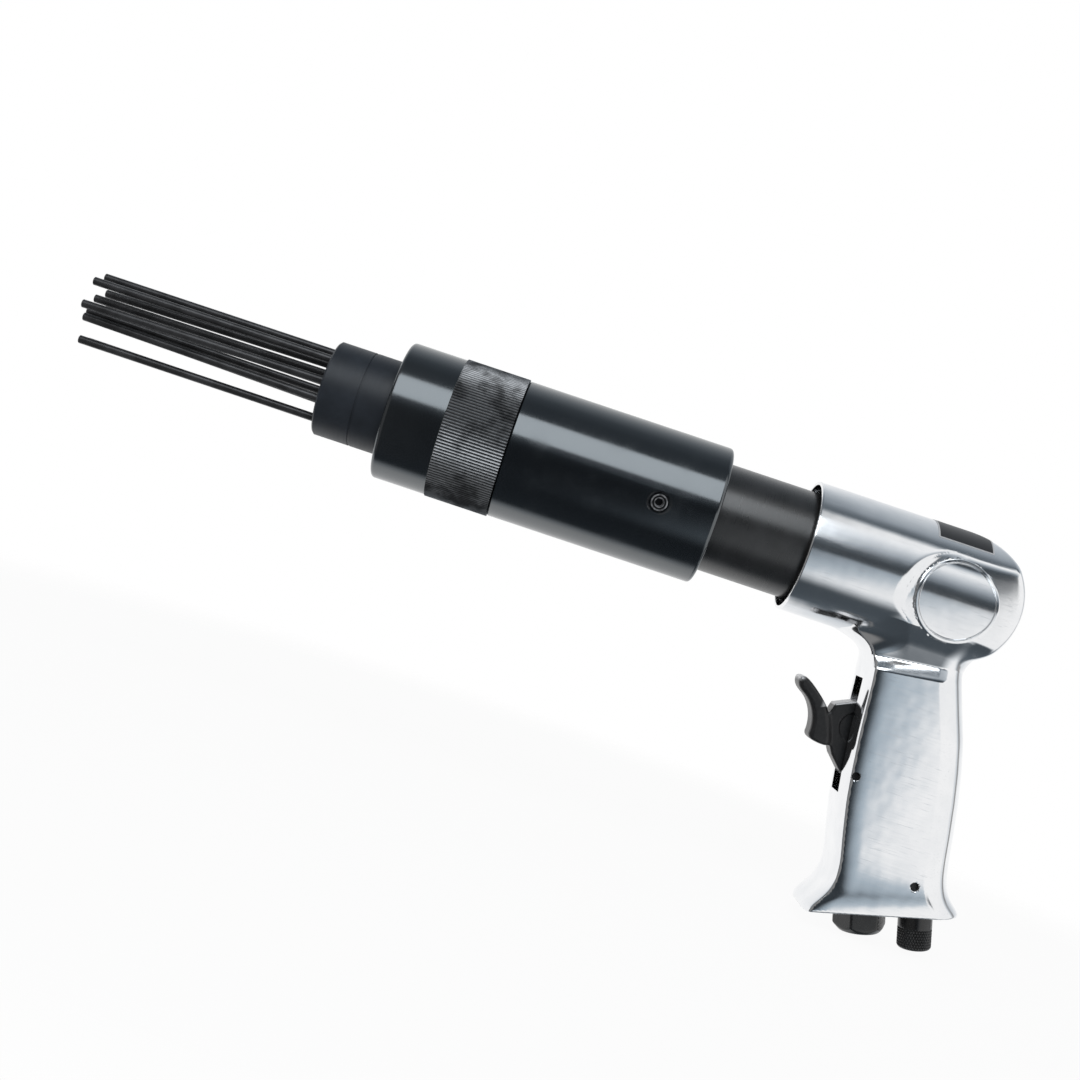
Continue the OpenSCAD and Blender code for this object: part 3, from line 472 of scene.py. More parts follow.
def knurled_black_steel():
    material, shader, place = begin_finish("knurled_black_steel")
    x, y, z = axes_of(place)
    ridge = maths("SQRT", y * y + z * z).between(RIDGE_FOOT, RIDGE_TOP)
    knurled = 1 - x.between(KNURL_EDGE - KNURL_EDGE_SOFT, KNURL_EDGE + KNURL_EDGE_SOFT)
    patches = grain(place, 0.1, 4.0).between(0.34, 0.54)
    dents = grain(stretched(place, 0.5, 0.9, 0.9), 1.0)
    worn = (0.3 + patches * 0.7) * (0.12 + ridge * 0.88)
    haze = grain(place, 0.09)
    black = mix_colour(haze, BLUED, BLUED_PALE)
    # Real wear on the ridges, and painted shade in the valleys, which take the near-black metal and reflect
    # almost nothing.
    rubbed_ridges_valley_shade = mix_colour(worn, VALLEY_SHADE_BLACK, RUBBED_STEEL)
    feed(shader, Base_Color=mix_colour(knurled, black, rubbed_ridges_valley_shade), Metallic=knurled)
    feed(shader, Roughness=0.13 + haze * 0.06 + knurled * (0.16 + dents * 0.22))
    feed(shader, IOR=BLACK_IOR, Specular_IOR_Level=BLUED_SPECULAR, Specular_Tint=BLUED_TINT)
    bump(shader, dents * knurled * 0.6 + haze * 0.05, 0.6, 0.25)
    return material


knurled_black = knurled_black_steel()
print("made", knurled_black.name)

# %% [markdown]
# ### Turned, drawn and moulded pieces
# The other finishes differ in colour, sheen and the way that the piece was worked. Each could have its
# own nodes, but one function serves them all: fine marks round or along the piece, and soft patches in
# the colour.

# %% Plain finishes
TURNED, DRAWN, EVEN, MOULDED = (2.4, 0.15, 0.15), (0.08, 2.0, 2.0), (0.5, 0.5, 0.5), (0.7, 0.7, 0.7)


def plain_metal(name, low, high, rough, specular, metallic=0.0, marks_way=TURNED):
    """Two colours in soft patches, with fine marks and a soft sheen."""
    material, shader, place = begin_finish(name)
    marks = grain(stretched(place, *marks_way), 1.0)
    patches = grain(place, 0.13)
    feed(shader, Base_Color=mix_colour(patches.between(0.3, 0.75), low, high))
    feed(shader, Roughness=rough + marks * 0.14 - 0.07 + patches * 0.05)
    feed(shader, Metallic=metallic, IOR=BLACK_IOR, Specular_IOR_Level=specular)
    bump(shader, marks * 0.03 + grain(place, 1.6, 2.0) * 0.02, 0.35, 0.3)
    return material


PLAIN = {
    "slate_steel": ((0.009, 0.014, 0.022), (0.016, 0.023, 0.034), 0.46, 0.2),
    "black_steel": ((0.010, 0.010, 0.010), (0.020, 0.020, 0.021), 0.27, 0.38),
    "black_oxide": ((0.006, 0.006, 0.007), (0.014, 0.014, 0.015), 0.26, 0.24, 0.0, EVEN),
    "needle_steel": ((0.03, 0.03, 0.032), (0.07, 0.07, 0.074), 0.32, 0.3, 0.55, DRAWN),
    "tool_steel": ((0.42, 0.43, 0.44), (0.56, 0.57, 0.58), 0.3, 0.3, 1.0),
    "pin_steel": ((0.004, 0.004, 0.005), (0.01, 0.01, 0.011), 0.4, 0.2),
    "spring_steel": ((0.2, 0.205, 0.21), (0.3, 0.305, 0.31), 0.33, 0.3, 0.9, EVEN),
    "black_rubber": ((0.012, 0.012, 0.013), (0.02, 0.02, 0.021), 0.62, 0.2, 0.0, MOULDED),
    "brass": ((0.60, 0.42, 0.16), (0.74, 0.55, 0.25), 0.28, 0.3, 1.0),
}
plain = {name: plain_metal(name, *look) for name, look in PLAIN.items()}
print("made", *plain)

# %% [markdown]
# ### Set screw
# The screw in the sleeve is black too, with painted highlights: a bright ring at its rim and another round
# the edge of its socket, where the edges catch the light. Edge highlights could be read from the mesh's
# pointiness, but that changes with its faces. How far a point lies from the screw's own axis tells exactly
# where both places are.

# %% Set screw
SCREW_TURN = math.radians(-6.0)
SCREW_RIM, SOCKET_INNER, SOCKET_OUTER = (0.8, 0.9), (0.4, 0.5), (0.56, 0.66)
# The bright colour here is a painted highlight for the rim and the socket's edge.
SCREW_BLACK, SCREW_HIGHLIGHT = (0.02, 0.02, 0.022), (0.6, 0.6, 0.61)


def box_in_mm(node):
    """The two corners of a CAD node's box."""
    return [np.array(corner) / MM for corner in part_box(node)]


screw_low, screw_high = box_in_mm("sleeve_set_screw")
screw_x, screw_r = float(screw_low[0] + screw_high[0]) / 2, float(screw_high[0] - screw_low[0]) / 2


def highlighted_screw_steel():
    material, shader, place = begin_finish("dark_steel")
    x, y, z = axes_of(place)
    along, across = x - screw_x, z * math.cos(SCREW_TURN) - y * math.sin(SCREW_TURN)
    from_axis = maths("SQRT", along * along + across * across) / screw_r
    scuffs = grain(place, 0.9)
    socket = from_axis.between(*SOCKET_INNER) * (1 - from_axis.between(*SOCKET_OUTER))
    # Painted highlights: bright steel on a ring at the rim and on a ring round the socket, patchy with the
    # noise.
    painted_highlight = (from_axis.between(*SCREW_RIM) + socket) * (0.3 + scuffs.between(0.35, 0.6) * 0.7)
    feed(shader, Base_Color=mix_colour(painted_highlight, SCREW_BLACK, SCREW_HIGHLIGHT), Metallic=1.0)
    feed(shader, Roughness=0.3 + scuffs * 0.15)
    bump(shader, scuffs * 0.2, 0.5, 0.3)
    return material


screw_steel = highlighted_screw_steel()
print("screw radius in mm", round(screw_r, 2))

# %% [markdown]
# ### Worn black satin
# Years of fingers rub the trigger bright at its tip, and the housing rubs a line along the top of its
# web. Vertex colours could hold the wear, but both are places, so the finish measures how far each
# point lies from them.

# %% Worn black satin
TRIGGER_TIP, TIP_WEAR = (-162.9, -45.0), (1.6, 3.4)
WEB_TOP_WAY, WEB_TOP_AT, WEB_TOP_WEAR = (0.421, 0.907), -121.4, (-0.75, -0.3)
WEB_TOP_FRONT, WEB_TOP_FADE = -173.0, 1.5
SATIN, SATIN_PALE, RUBBED_BRIGHT = (0.005, 0.005, 0.006), (0.011, 0.011, 0.012), (0.62, 0.62, 0.63)
SATIN_SPECULAR = 0.221


def worn_black_satin():
    material, shader, place = begin_finish("black_satin")
    x, _, z = axes_of(place)
    patches = grain(place, 0.9)
    off_x, off_z = x - TRIGGER_TIP[0], z - TRIGGER_TIP[1]
    from_tip = maths("SQRT", off_x * off_x + off_z * off_z)
    tip = 1 - (from_tip + patches * 1.6).between(*TIP_WEAR)
    over_web = x * WEB_TOP_WAY[0] + z * WEB_TOP_WAY[1] - WEB_TOP_AT
    web_rear = 1 - x.between(WEB_TOP_FRONT - WEB_TOP_FADE, WEB_TOP_FRONT)
    worn = maths("MAXIMUM", tip, over_web.between(*WEB_TOP_WEAR) * web_rear * 0.8)
    black = mix_colour(patches.between(0.3, 0.7), SATIN, SATIN_PALE)
    feed(shader, Base_Color=mix_colour(worn, black, RUBBED_BRIGHT), Metallic=worn * 0.8)
    feed(shader, Roughness=0.3 + patches * 0.12, IOR=BLACK_IOR, Specular_IOR_Level=SATIN_SPECULAR)
    bump(shader, grain(place, 1.8, 2.0) * 0.05, 0.35, 0.3)
    return material


trigger_black = worn_black_satin()
print("made", trigger_black.name)

# %% [markdown]
# ### Dressing the solids
# Most pieces are turned from bar, and the CAD solid already has their shape, so they only get a finish.
# They could be modelled again with bevels, but at this size their edges hardly show. The needles are what
# is left when every other solid has its finish.

# %% Dress the solids
SOLIDS = {
    "black_steel": ["cylinder"],
    "slate_steel": ["nose_tube"],
    "tool_steel": [
        "needle_holder", "anvil", "piston", "valve_cap", "valve_disc", "valve_case", "throttle_stem",
    ],
    "black_rubber": ["anvil_buffer", "throttle_seal", "regulator_seal"],
    "spring_steel": ["return_spring", "throttle_spring"],
    "pin_steel": ["trigger_pin", "regulator_pin"],
    "brass": ["throttle_bush", "inlet_screen"],
    "black_oxide": ["air_inlet", "regulator"],
}
finish_of = {solid: plain[finish] for finish, solids in SOLIDS.items() for solid in solids}
finish_of.update(
    barrel_sleeve=gloss_black, sleeve_set_screw=screw_steel, front_cap=knurled_black,
    trigger=trigger_black, housing=aluminium)
for name, node in nodes.items():
    node.data.materials.clear()
    node.data.materials.append(finish_of.get(name, plain["needle_steel"]))
print("dressed", len(nodes), "solids")

# %% [markdown]
# ## Forms from a field
# The casting has no sharp design edges: everything flows into everything. Such a form could be sculpted
# or built with subdivision, but a field is exact and easy to change: a function that is negative inside
# the metal, made of cylinders and rounded boxes joined by soft minimums. Dual contouring turns it into
# quads. Each vertex is put where the planes through the cell's crossings meet, so that bores and slots
# keep their edges.

# %% Soft joins
def soft_min(a, b, k):
    """The smaller of two distances, with a fillet of about k where they meet."""
    near = np.maximum(k - np.abs(a - b), 0.0) / k
    return np.minimum(a, b) - near * near * k / 4


def soft_max(a, b, k):
    return -soft_min(-a, -b, k)


def smooth_step(low, high, x):
    t = np.clip((x - low) / (high - low), 0.0, 1.0)
    return t * t * (3 - 2 * t)


def cut(metal, *sides):
    """Metal without the space that is inside all of the sides."""
    return np.maximum(metal, -reduce(np.maximum, sides))


def slope(field, points, reach=0.02):
    """Unit gradient of a field at points in mm."""
    steps = []
    for axis in range(3):
        ahead, behind = points.copy(), points.copy()
        ahead[:, axis] += reach
        behind[:, axis] -= reach
        steps.append(field(*ahead.T) - field(*behind.T))
    result = np.stack(steps, 1)
    return result / np.maximum(np.linalg.norm(result, axis=1, keepdims=True), 1e-9)


def depth_at(field, *point):
    """How deep a point in mm lies in the metal."""
    return round(-float(field(*np.array(point, float)[:, None])[0]), 2)


print("a corner with a 4 mm fillet is filled by", -soft_min(0.0, 0.0, 4.0), "mm")

# %% Grid
CROSSING_TRIES, CROSSING_LIMITS = 4, (0.02, 0.98)


def grid_lines(low, high, step, fine=(0.0, 0.0), fine_step=1.0):
    """Places of the grid's planes along an axis, closer together in a fine stretch."""
    lines = [float(low)]
    while lines[-1] < high:
        lines.append(lines[-1] + (fine_step if fine[0] < lines[-1] < fine[1] else step))
    return np.array(lines)


def at_grid(lines, index):
    return np.stack([line[index[:, axis]] for axis, line in enumerate(lines)], 1)


def sampled(field, lines):
    """The field at every point of the grid, plane by plane."""
    values = np.empty([len(line) for line in lines])
    grid_y, grid_z = np.meshgrid(lines[1], lines[2], indexing="ij")
    for i, x in enumerate(lines[0]):
        values[i] = field(np.full_like(grid_y, x), grid_y, grid_z)
    return values


def crossings(field, values, lines, axis):
    """Grid edges along one axis that the surface crosses, the crossing points and which way is out."""
    ahead = np.moveaxis(values, axis, 0)
    flips = np.moveaxis((ahead[:-1] < 0) != (ahead[1:] < 0), 0, axis)
    edge = np.argwhere(flips)
    upper = edge.copy()
    upper[:, axis] += 1
    start, end = at_grid(lines, edge), at_grid(lines, upper)
    a, b = values[tuple(edge.T)], values[tuple(upper.T)]
    t0, t1 = np.zeros(len(a)), np.ones(len(a))
    for _ in range(CROSSING_TRIES):
        t = t0 + (t1 - t0) * np.clip(a / (a - b), *CROSSING_LIMITS)
        point = start + (end - start) * t[:, None]
        value = field(*point.T)
        same = (value < 0) == (a < 0)
        t0, a = np.where(same, t, t0), np.where(same, value, a)
        t1, b = np.where(same, t1, t), np.where(same, b, value)
    return edge, point, values[tuple(edge.T)] < 0


print("a 0.5 mm grid over 10 mm has", len(grid_lines(0, 10, 0.5)), "planes")

# %% Dual contouring
ROUND_AXIS = ((1, 2), (2, 0), (0, 1))
CELLS_ROUND_EDGE = ((-1, -1), (0, -1), (0, 0), (-1, 0))
MIDDLE_PULL = 0.03


def settled(points, normals, owner, cells):
    """For each cell, the point that lies best on the planes through its crossings."""

    def gather(weights):
        return np.bincount(owner, np.repeat(weights, 4), cells)

    number = gather(np.ones(len(points)))
    centre = np.stack([gather(points[:, i]) for i in range(3)], 1) / number[:, None]
    offset = np.einsum("ij,ij->i", normals, points)
    square, side = np.empty((cells, 3, 3)), np.empty((cells, 3))
    for i in range(3):
        side[:, i] = gather(normals[:, i] * offset)
        for j in range(3):
            square[:, i, j] = gather(normals[:, i] * normals[:, j])
    side -= np.einsum("nij,nj->ni", square, centre)
    square += MIDDLE_PULL * np.eye(3)
    return centre + np.linalg.solve(square, side[:, :, None])[:, :, 0]


def contour(field, lines):
    """Vertices and quads on the surface where the field is zero, in mm, on a grid of planes."""
    values = sampled(field, lines)
    normals, points, quads, outward = [], [], [], []
    for axis in range(3):
        edge, point, out = crossings(field, values, lines, axis)
        u, v = ROUND_AXIS[axis]
        cells = np.repeat(edge[:, None, :], 4, 1)
        for corner, (du, dv) in enumerate(CELLS_ROUND_EDGE):
            cells[:, corner, u] += du
            cells[:, corner, v] += dv
        quads.append(np.ravel_multi_index(np.moveaxis(cells, 2, 0), values.shape))
        normals.append(slope(field, point))
        points.append(point)
        outward.append(out)
    normals, points, outward = (np.concatenate(each) for each in (normals, points, outward))
    cells, owner = np.unique(np.concatenate(quads), return_inverse=True)
    quads = owner.reshape(-1, 4)
    vertices = settled(points, normals, quads.ravel(), len(cells))
    cell = np.stack(np.unravel_index(cells, values.shape), 1)
    vertices = np.clip(vertices, at_grid(lines, cell), at_grid(lines, cell + 1))
    quads[~outward] = quads[~outward][:, ::-1]
    return vertices, quads


print("each crossed edge gives a quad with", len(CELLS_ROUND_EDGE), "corners")

# %% Meshes
CREASE = math.cos(math.radians(32.0))
CREASE_INSET = 0.45


def mesh_piece(name, vertices, faces, material, sharp=None):
    """A smooth mesh object from points in mm, with sharp edges above an angle in degrees."""
    mesh = bpy.data.meshes.new(name)
    mesh.from_pydata((np.array(vertices) * MM).tolist(), [], faces)
    mesh.polygons.foreach_set("use_smooth", [True] * len(faces))
    if sharp:
        mesh.set_sharp_from_angle(angle=math.radians(sharp))
    mesh.materials.append(material)
    print(name, "has", len(vertices), "vertices and", len(faces), "faces")
    return put_in_scene(name, mesh)


def field_piece(name, field, lines, material):
    """A mesh object whose shading follows the field, with creases at its sharp edges."""
    vertices, quads = contour(field, lines)
    piece = mesh_piece(name, vertices, quads.tolist(), material)
    corner = vertices[quads]
    flat = np.cross(corner[:, 2] - corner[:, 0], corner[:, 3] - corner[:, 1])
    flat /= np.maximum(np.linalg.norm(flat, axis=1, keepdims=True), 1e-12)
    loop = slope(field, vertices)[quads]
    bent = np.einsum("qij,qj->qi", loop, flat) < CREASE
    inner = (1 - CREASE_INSET) * corner + CREASE_INSET * corner.mean(1, keepdims=True)
    loop[bent] = slope(field, inner[bent])
    piece.data.normals_split_custom_set(loop.reshape(-1, 3).tolist())
    return piece


def grid_round(node, margin, step, fine=((0.0, 0.0),) * 3, fine_step=1.0):
    """The grid's planes on each axis, round a CAD node's box."""
    return [
        grid_lines(low - margin, high + margin, step, stretch, fine_step)
        for low, high, stretch in zip(*box_in_mm(node), fine)
    ]


print("mesh helpers ready")

# %% [markdown]
# ## The housing
# Barrel, drum-shaped rear and grip are one casting. The grip could be a loft, but its panels, ledge and
# neck would need many sections. As a field, it follows the same stations as the CAD model: front, rear
# and half width down its length, smoothed. Its side panels are crowned towards the front edge, its rear
# is rounded, the neck above the panels leans in to meet the barrel, and the foot flares.

# %% Grip stations
GRIP_RAKE = math.radians(15.0)
GRIP_X = -196.8
GRIP_LENGTH, GRIP_DEPTH, GRIP_WIDTH = 119.0, 45.0, 29.6
PLACE = np.array([
    0.1, 0.16, 0.185, 0.227, 0.286, 0.378, 0.47, 0.563,
    0.655, 0.756, 0.84, 0.89, 0.93, 0.958, 0.982, 1.0,
])
FRONT = [
    0.69, 0.58, 0.505, 0.465, 0.485, 0.53, 0.572, 0.608,
    0.637, 0.651, 0.657, 0.68, 0.73, 0.805, 0.89, 0.897,
]
REAR = [
    0.46, 0.41, 0.365, 0.328, 0.322, 0.342, 0.364, 0.364,
    0.351, 0.327, 0.302, 0.293, 0.302, 0.33, 0.382, 0.409,
]
SIDE = [
    0.53, 0.52, 0.505, 0.492, 0.49, 0.49, 0.49, 0.49,
    0.49, 0.49, 0.49, 0.493, 0.503, 0.517, 0.521, 0.517,
]
STATION_STEP, PAST_FOOT, SPREAD = 0.25, 12.0, 9.0
STATION_SOFTNESS, SIDE_SOFTNESS = 1.6, 2.0
station = np.arange(0.0, GRIP_LENGTH + PAST_FOOT, STATION_STEP)
spread = np.arange(-SPREAD, SPREAD + STATION_STEP, STATION_STEP)


def smoothed(shares, size, softness=STATION_SOFTNESS):
    """A station table in mm, read at small steps and softened."""
    kernel = np.exp(-0.5 * (spread / softness) ** 2)
    kernel /= kernel.sum()
    table = np.interp(station, PLACE * GRIP_LENGTH, np.array(shares) * size)
    padded = np.pad(table, len(kernel) // 2, mode="edge")
    return np.convolve(padded, kernel, mode="valid")


grip_front, grip_rear = smoothed(FRONT, GRIP_DEPTH), smoothed(REAR, GRIP_DEPTH)
grip_half = smoothed(SIDE, GRIP_WIDTH, SIDE_SOFTNESS)
print("grip half width in mm", round(grip_half.min(), 2), "to", round(grip_half.max(), 2))

# %% Grip field
CROWN_WIDE, CROWN_DROP, CROWN_LIMIT = 10.0, 0.55, 1.2
FRONT_ROUND, FRONT_BROW, REAR_ROUND, FOOT_ROUND = 2.4, 9.0, 11.0, 1.0
PANEL_TOP, PANEL_TOP_FRONT, PANEL_TOP_LEAN = 26.6, 10.8, 0.1385
NECK_CREST, NECK_LEAN, NECK_WIDEST, NECK_DEEP = (21.2, -12.3), 0.57, 19.7, 20
NECK_TAPER, NECK_TAPER_FROM, NECK_TAPER_EASE, NECK_TAPER_RISE = 0.34, 8.0, 8.0, 9.0
LEDGE_FROM, LEDGE_TO, LEDGE_ROUND = -4.5, 0.0, 0.16
GRIP_TOP = 2.0


def ledge(above):
    """0 on the panel and 1 on the neck: an even slope with rounded ends."""
    t = np.clip((above - LEDGE_FROM) / (LEDGE_TO - LEDGE_FROM), -1, 2)
    return np.clip(soft_min(soft_max(t, 0 * t, LEDGE_ROUND), 0 * t + 1, LEDGE_ROUND), 0, 1)


def to_grip(x, z):
    """Places in the grip's own frame: forwards of its axis, and up along it."""
    c, s = math.cos(GRIP_RAKE), math.sin(GRIP_RAKE)
    return (x - GRIP_X) * c - z * s, (x - GRIP_X) * s + z * c


def grip_half_width(forward, down, front, z):
    """Half the grip's width: crowned panel, ledge, and the neck that leans in and tapers forwards."""
    half = np.interp(down, station, grip_half)
    above = PANEL_TOP + (PANEL_TOP_FRONT - forward) * PANEL_TOP_LEAN - down
    height = z + np.clip(-above, 0, NECK_DEEP)
    neck = np.minimum(NECK_CREST[0] + NECK_LEAN * (height - NECK_CREST[1]), NECK_WIDEST)
    ahead = np.maximum(forward - NECK_TAPER_FROM, 0)
    drawn_in = NECK_TAPER * ahead ** 2 / (ahead + NECK_TAPER_EASE)
    neck = neck - drawn_in * smooth_step(0.0, NECK_TAPER_RISE, above)
    half = half + (neck - half) * ledge(above)
    return half - CROWN_DROP * np.clip(1 - (front - forward) / CROWN_WIDE, 0, CROWN_LIMIT) ** 3


def grip_field(x, y, z):
    forward, rise = to_grip(x, z)
    down = -rise
    front = np.interp(down, station, grip_front)
    rear = np.interp(down, station, grip_rear)
    half = grip_half_width(forward, down, front, z)
    middle = (front - rear) / 2
    deep = np.where(forward > middle, FRONT_ROUND, REAR_ROUND)
    wide = np.where(forward > middle, FRONT_BROW, REAR_ROUND)
    a = (np.abs(forward - middle) - (front + rear) / 2) / deep + 1
    b = (np.abs(y) - half) / wide + 1
    past_a, past_b = np.maximum(a, 0), np.maximum(b, 0)
    share = past_a / (past_a + past_b + 1e-6)
    box = np.hypot(past_a, past_b) + np.minimum(np.maximum(a, b), 0) - 1
    box = box * (deep * share + wide * (1 - share))
    box = soft_max(box, down - GRIP_LENGTH, FOOT_ROUND)
    return np.maximum(box, GRIP_TOP - down)


print("metal over a point in the grip's middle in mm", depth_at(grip_field, GRIP_X - 15, 0, -60))

# %% Barrel field
MOUTH, MOUTH_ROUND, BARREL_R = -147.5, 0.5, 24.75
HOUSING_REAR, DRUM_R, DRUM_HALF, DRUM_ROUND, DRUM_JOIN = -228.5, 25.55, 21.4, 4.6, 1.2
FLAT_Y = 20.8
BOSS_X, BOSS_Z, BOSS_R, BOSS_SEAT = -203.1, -2.4, 15.0, 18.4
SCOOP_R, SCOOP_ROUND, SCOOP_RISE = 15.4, 2.6, 0.3
SCOOP_TURN, SCOOP_LIFT, SCOOP_EASE = 0.8, 2.1, (0.0, 3.0)
SCOOP_LOBE, SCOOP_LOBE_AT, SCOOP_LOBE_WIDE = 2.4, -0.32, 0.3
SCOOP_JOIN, SCOOP_JOIN_AHEAD, SCOOP_JOIN_EASE = 0.8, 2.0, (-4.0, 14.0)
DOME_R, DOME_EASE = 250.0, (-2.0, 6.0)


def drum_field(x, y, z):
    """The barrel with its rear end rounded like a drum that lies across it."""
    behind = x - (HOUSING_REAR + DRUM_R)
    out = np.hypot(np.minimum(behind, 0), z) - DRUM_R + DRUM_ROUND
    side = np.abs(y) - DRUM_HALF - np.maximum(behind, 0) + DRUM_ROUND
    drum = np.hypot(np.maximum(out, 0), np.maximum(side, 0)) + np.minimum(np.maximum(out, side), 0)
    return soft_max(np.hypot(y, z) - BARREL_R, drum - DRUM_ROUND, DRUM_JOIN)


def scoop_field(x, y, z):
    """The flat behind the boss, and the scoop that rises from it to the barrel in front."""
    ahead = np.maximum(x - BOSS_X, 0)
    from_boss = np.hypot(ahead, z - BOSS_Z)
    reach = SCOOP_ROUND * SCOOP_TURN
    turned = np.arctan2(z - BOSS_Z, ahead + 1e-6) - SCOOP_LOBE_AT
    past = from_boss - SCOOP_R - SCOOP_LOBE * np.exp(-(turned / SCOOP_LOBE_WIDE) ** 2)
    t = np.clip(past, 0, reach)
    level = np.sqrt(SCOOP_ROUND ** 2 - t * t)
    steep = t / level
    rise = SCOOP_ROUND - level + np.maximum(past - reach, 0) * steep
    dome = np.maximum(np.hypot(x - BOSS_X, z - BOSS_Z) ** 2 - BOSS_R ** 2, 0) / (2 * DOME_R)
    rise = rise + SCOOP_LIFT * (ahead / np.maximum(from_boss, 1e-6)) ** 2
    rise = rise * smooth_step(*SCOOP_EASE, ahead) - dome * (1 - smooth_step(*DOME_EASE, x - BOSS_X))
    return (np.abs(y) - FLAT_Y - SCOOP_RISE - rise) / np.sqrt(1 + steep * steep)


def barrel_field(x, y, z):
    join = SCOOP_JOIN + SCOOP_JOIN_AHEAD * smooth_step(*SCOOP_JOIN_EASE, x - BOSS_X)
    barrel = soft_max(drum_field(x, y, z), scoop_field(x, y, z), join)
    return soft_max(barrel, x - MOUTH, MOUTH_ROUND)


print("metal over the boss's axis in mm", depth_at(barrel_field, BOSS_X, 0, BOSS_Z))

# %% Housing field
COVE_FILLET, SIDE_FILLET, FILLET_EASE = 7.0, 2.5, (6.0, 12.0)
BORES = ((23.55, -156.5), (22.15, -175.5), (17.54, -198.55), (15.04, -211.3), (10.0, -216.3))
SLOT_HALF, SLOT_FLOOR, SLOT_LOW, SLOT_HIGH = 5.5, 12.234, -76.7, -34.5
TRIGGER_PIN, REGULATOR_PIN, PIN_HOLE_R, PIN_BREAK = (24.234, -69.3), (0.9, -107.7), 1.54, 0.2
INLET_X, INLET_R, INLET_TOP = 16.7, 7.74, -104.5
REGULATOR_X, REGULATOR_R, REGULATOR_TOP = -4.1, 5.06, -90.9
THROTTLE_Z, THROTTLE_R, THROTTLE_END, THROTTLE_OVERRUN = -47.8, 5.54, -8.4, 1


def housing_field(x, y, z):
    width = np.abs(y)
    fillet = COVE_FILLET + (SIDE_FILLET - COVE_FILLET) * smooth_step(*FILLET_EASE, width)
    metal = soft_min(barrel_field(x, y, z), grip_field(x, y, z), fillet)
    metal = cut(metal, np.hypot(x - BOSS_X, z - BOSS_Z) - BOSS_R, BOSS_SEAT - width)
    off_axis = np.hypot(y, z)
    for r, end in BORES:
        metal = cut(metal, off_axis - r, end - x)
    forward, rise = to_grip(x, z)
    metal = cut(metal, width - SLOT_HALF, SLOT_FLOOR - forward, SLOT_LOW - rise, rise - SLOT_HIGH)
    pin_mouth = np.maximum(width - np.interp(-rise, station, grip_half) + PIN_BREAK, 0)
    for pin_x, pin_z in (TRIGGER_PIN, REGULATOR_PIN):
        metal = cut(metal, np.hypot(forward - pin_x, rise - pin_z) - PIN_HOLE_R - pin_mouth)
    metal = cut(metal, np.hypot(forward - INLET_X, y) - INLET_R, rise - INLET_TOP)
    metal = cut(metal, np.hypot(forward - REGULATOR_X, y) - REGULATOR_R, rise - REGULATOR_TOP)
    from_throttle = np.hypot(y, rise - THROTTLE_Z) - THROTTLE_R
    return cut(metal, from_throttle, THROTTLE_END - forward, forward - SLOT_FLOOR - THROTTLE_OVERRUN)


print("a point on the barrel's axis lies in a bore, at mm", depth_at(housing_field, -170, 0, 0))

# %% Housing
HOUSING_MARGIN, HOUSING_STEP = 2.13, 0.55
LEDGE_STEP, LEDGE_HEIGHTS = 0.22, (-36.0, -21.0)
fine = ((0.0, 0.0), (0.0, 0.0), LEDGE_HEIGHTS)
lines = grid_round("housing", HOUSING_MARGIN, HOUSING_STEP, fine, LEDGE_STEP)
housing = field_piece("housing_casting", housing_field, lines, aluminium)
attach(housing, "body")
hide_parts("housing")

# %% [markdown]
# ## Round bosses
# On each side of the drum sits a round boss with a fine groove inside its rim. Its face is curved like
# the barrel, so that it shows the same bands of light. A lathe profile alone would make the face flat,
# so a polar grid is used: rings of points, with a height for each.

# %% Polar faces
POLAR_SHARP = 50.0


def polar_mesh(name, radii, heights, points, material):
    """A closed disc: rings of points at given radii and heights, as (radius, angle) arrays in mm."""
    rings = len(radii)
    angles = np.arange(points) * 2 * math.pi / points
    vertices = [(0.0, 0.0, float(heights[0].mean()))]
    for r, level in zip(radii[1:], heights[1:]):
        vertices += [(r * math.cos(a), r * math.sin(a), h) for a, h in zip(angles, level)]

    def at(ring, k):
        return 1 + (ring - 1) * points + k % points

    faces = [(0, at(1, k), at(1, k + 1)) for k in range(points)]
    for ring in range(1, rings - 1):
        faces += [
            (at(ring, k), at(ring + 1, k), at(ring + 1, k + 1), at(ring, k + 1)) for k in range(points)
        ]
    faces.append(tuple(at(rings - 1, k) for k in reversed(range(points))))
    return mesh_piece(name, vertices, faces, material, POLAR_SHARP)


print("polar faces are sharp above", POLAR_SHARP, "degrees")

# %% Bosses
BOSS_CREST, BOSS_LOWEST, BOSS_LOW_ROUND, BOSS_BASE = 24.3, 21.2, 0.8, 16.0
BOSS_CURVE_ABOVE, BOSS_CURVE_BELOW = 23.5, 60.0
GROOVE_FROM, GROOVE_TO, GROOVE_DEEP = 13.4, 14.1, 0.4
RIM_FROM, RIM_DROP = 14.75, 0.3
BOSS_POINTS = 144
boss_radii = np.concatenate([
    np.linspace(0, 13.3, 30), np.linspace(GROOVE_FROM, GROOVE_TO, 6),
    [14.25, 14.5, RIM_FROM, 14.9, 14.97, BOSS_R, BOSS_R],
])
turn_angle = np.arange(BOSS_POINTS) * 2 * math.pi / BOSS_POINTS


def boss_heights():
    """Face curved about the barrel's own way, with a fine groove just inside its rim."""
    rows = []
    for r in boss_radii[:-1]:
        across = r * np.sin(turn_angle)
        curve = np.where(across > 0, BOSS_CURVE_ABOVE, BOSS_CURVE_BELOW)
        face = BOSS_CREST - curve + np.sqrt(curve ** 2 - across ** 2)
        face = soft_max(face, np.full(BOSS_POINTS, BOSS_LOWEST), BOSS_LOW_ROUND)
        into_groove = np.clip((r - GROOVE_FROM) / (GROOVE_TO - GROOVE_FROM), 0, 1)
        rows.append(face - GROOVE_DEEP * math.sin(math.pi * into_groove) - RIM_DROP * max(r - RIM_FROM, 0))
    return rows + [np.full(BOSS_POINTS, BOSS_BASE)]


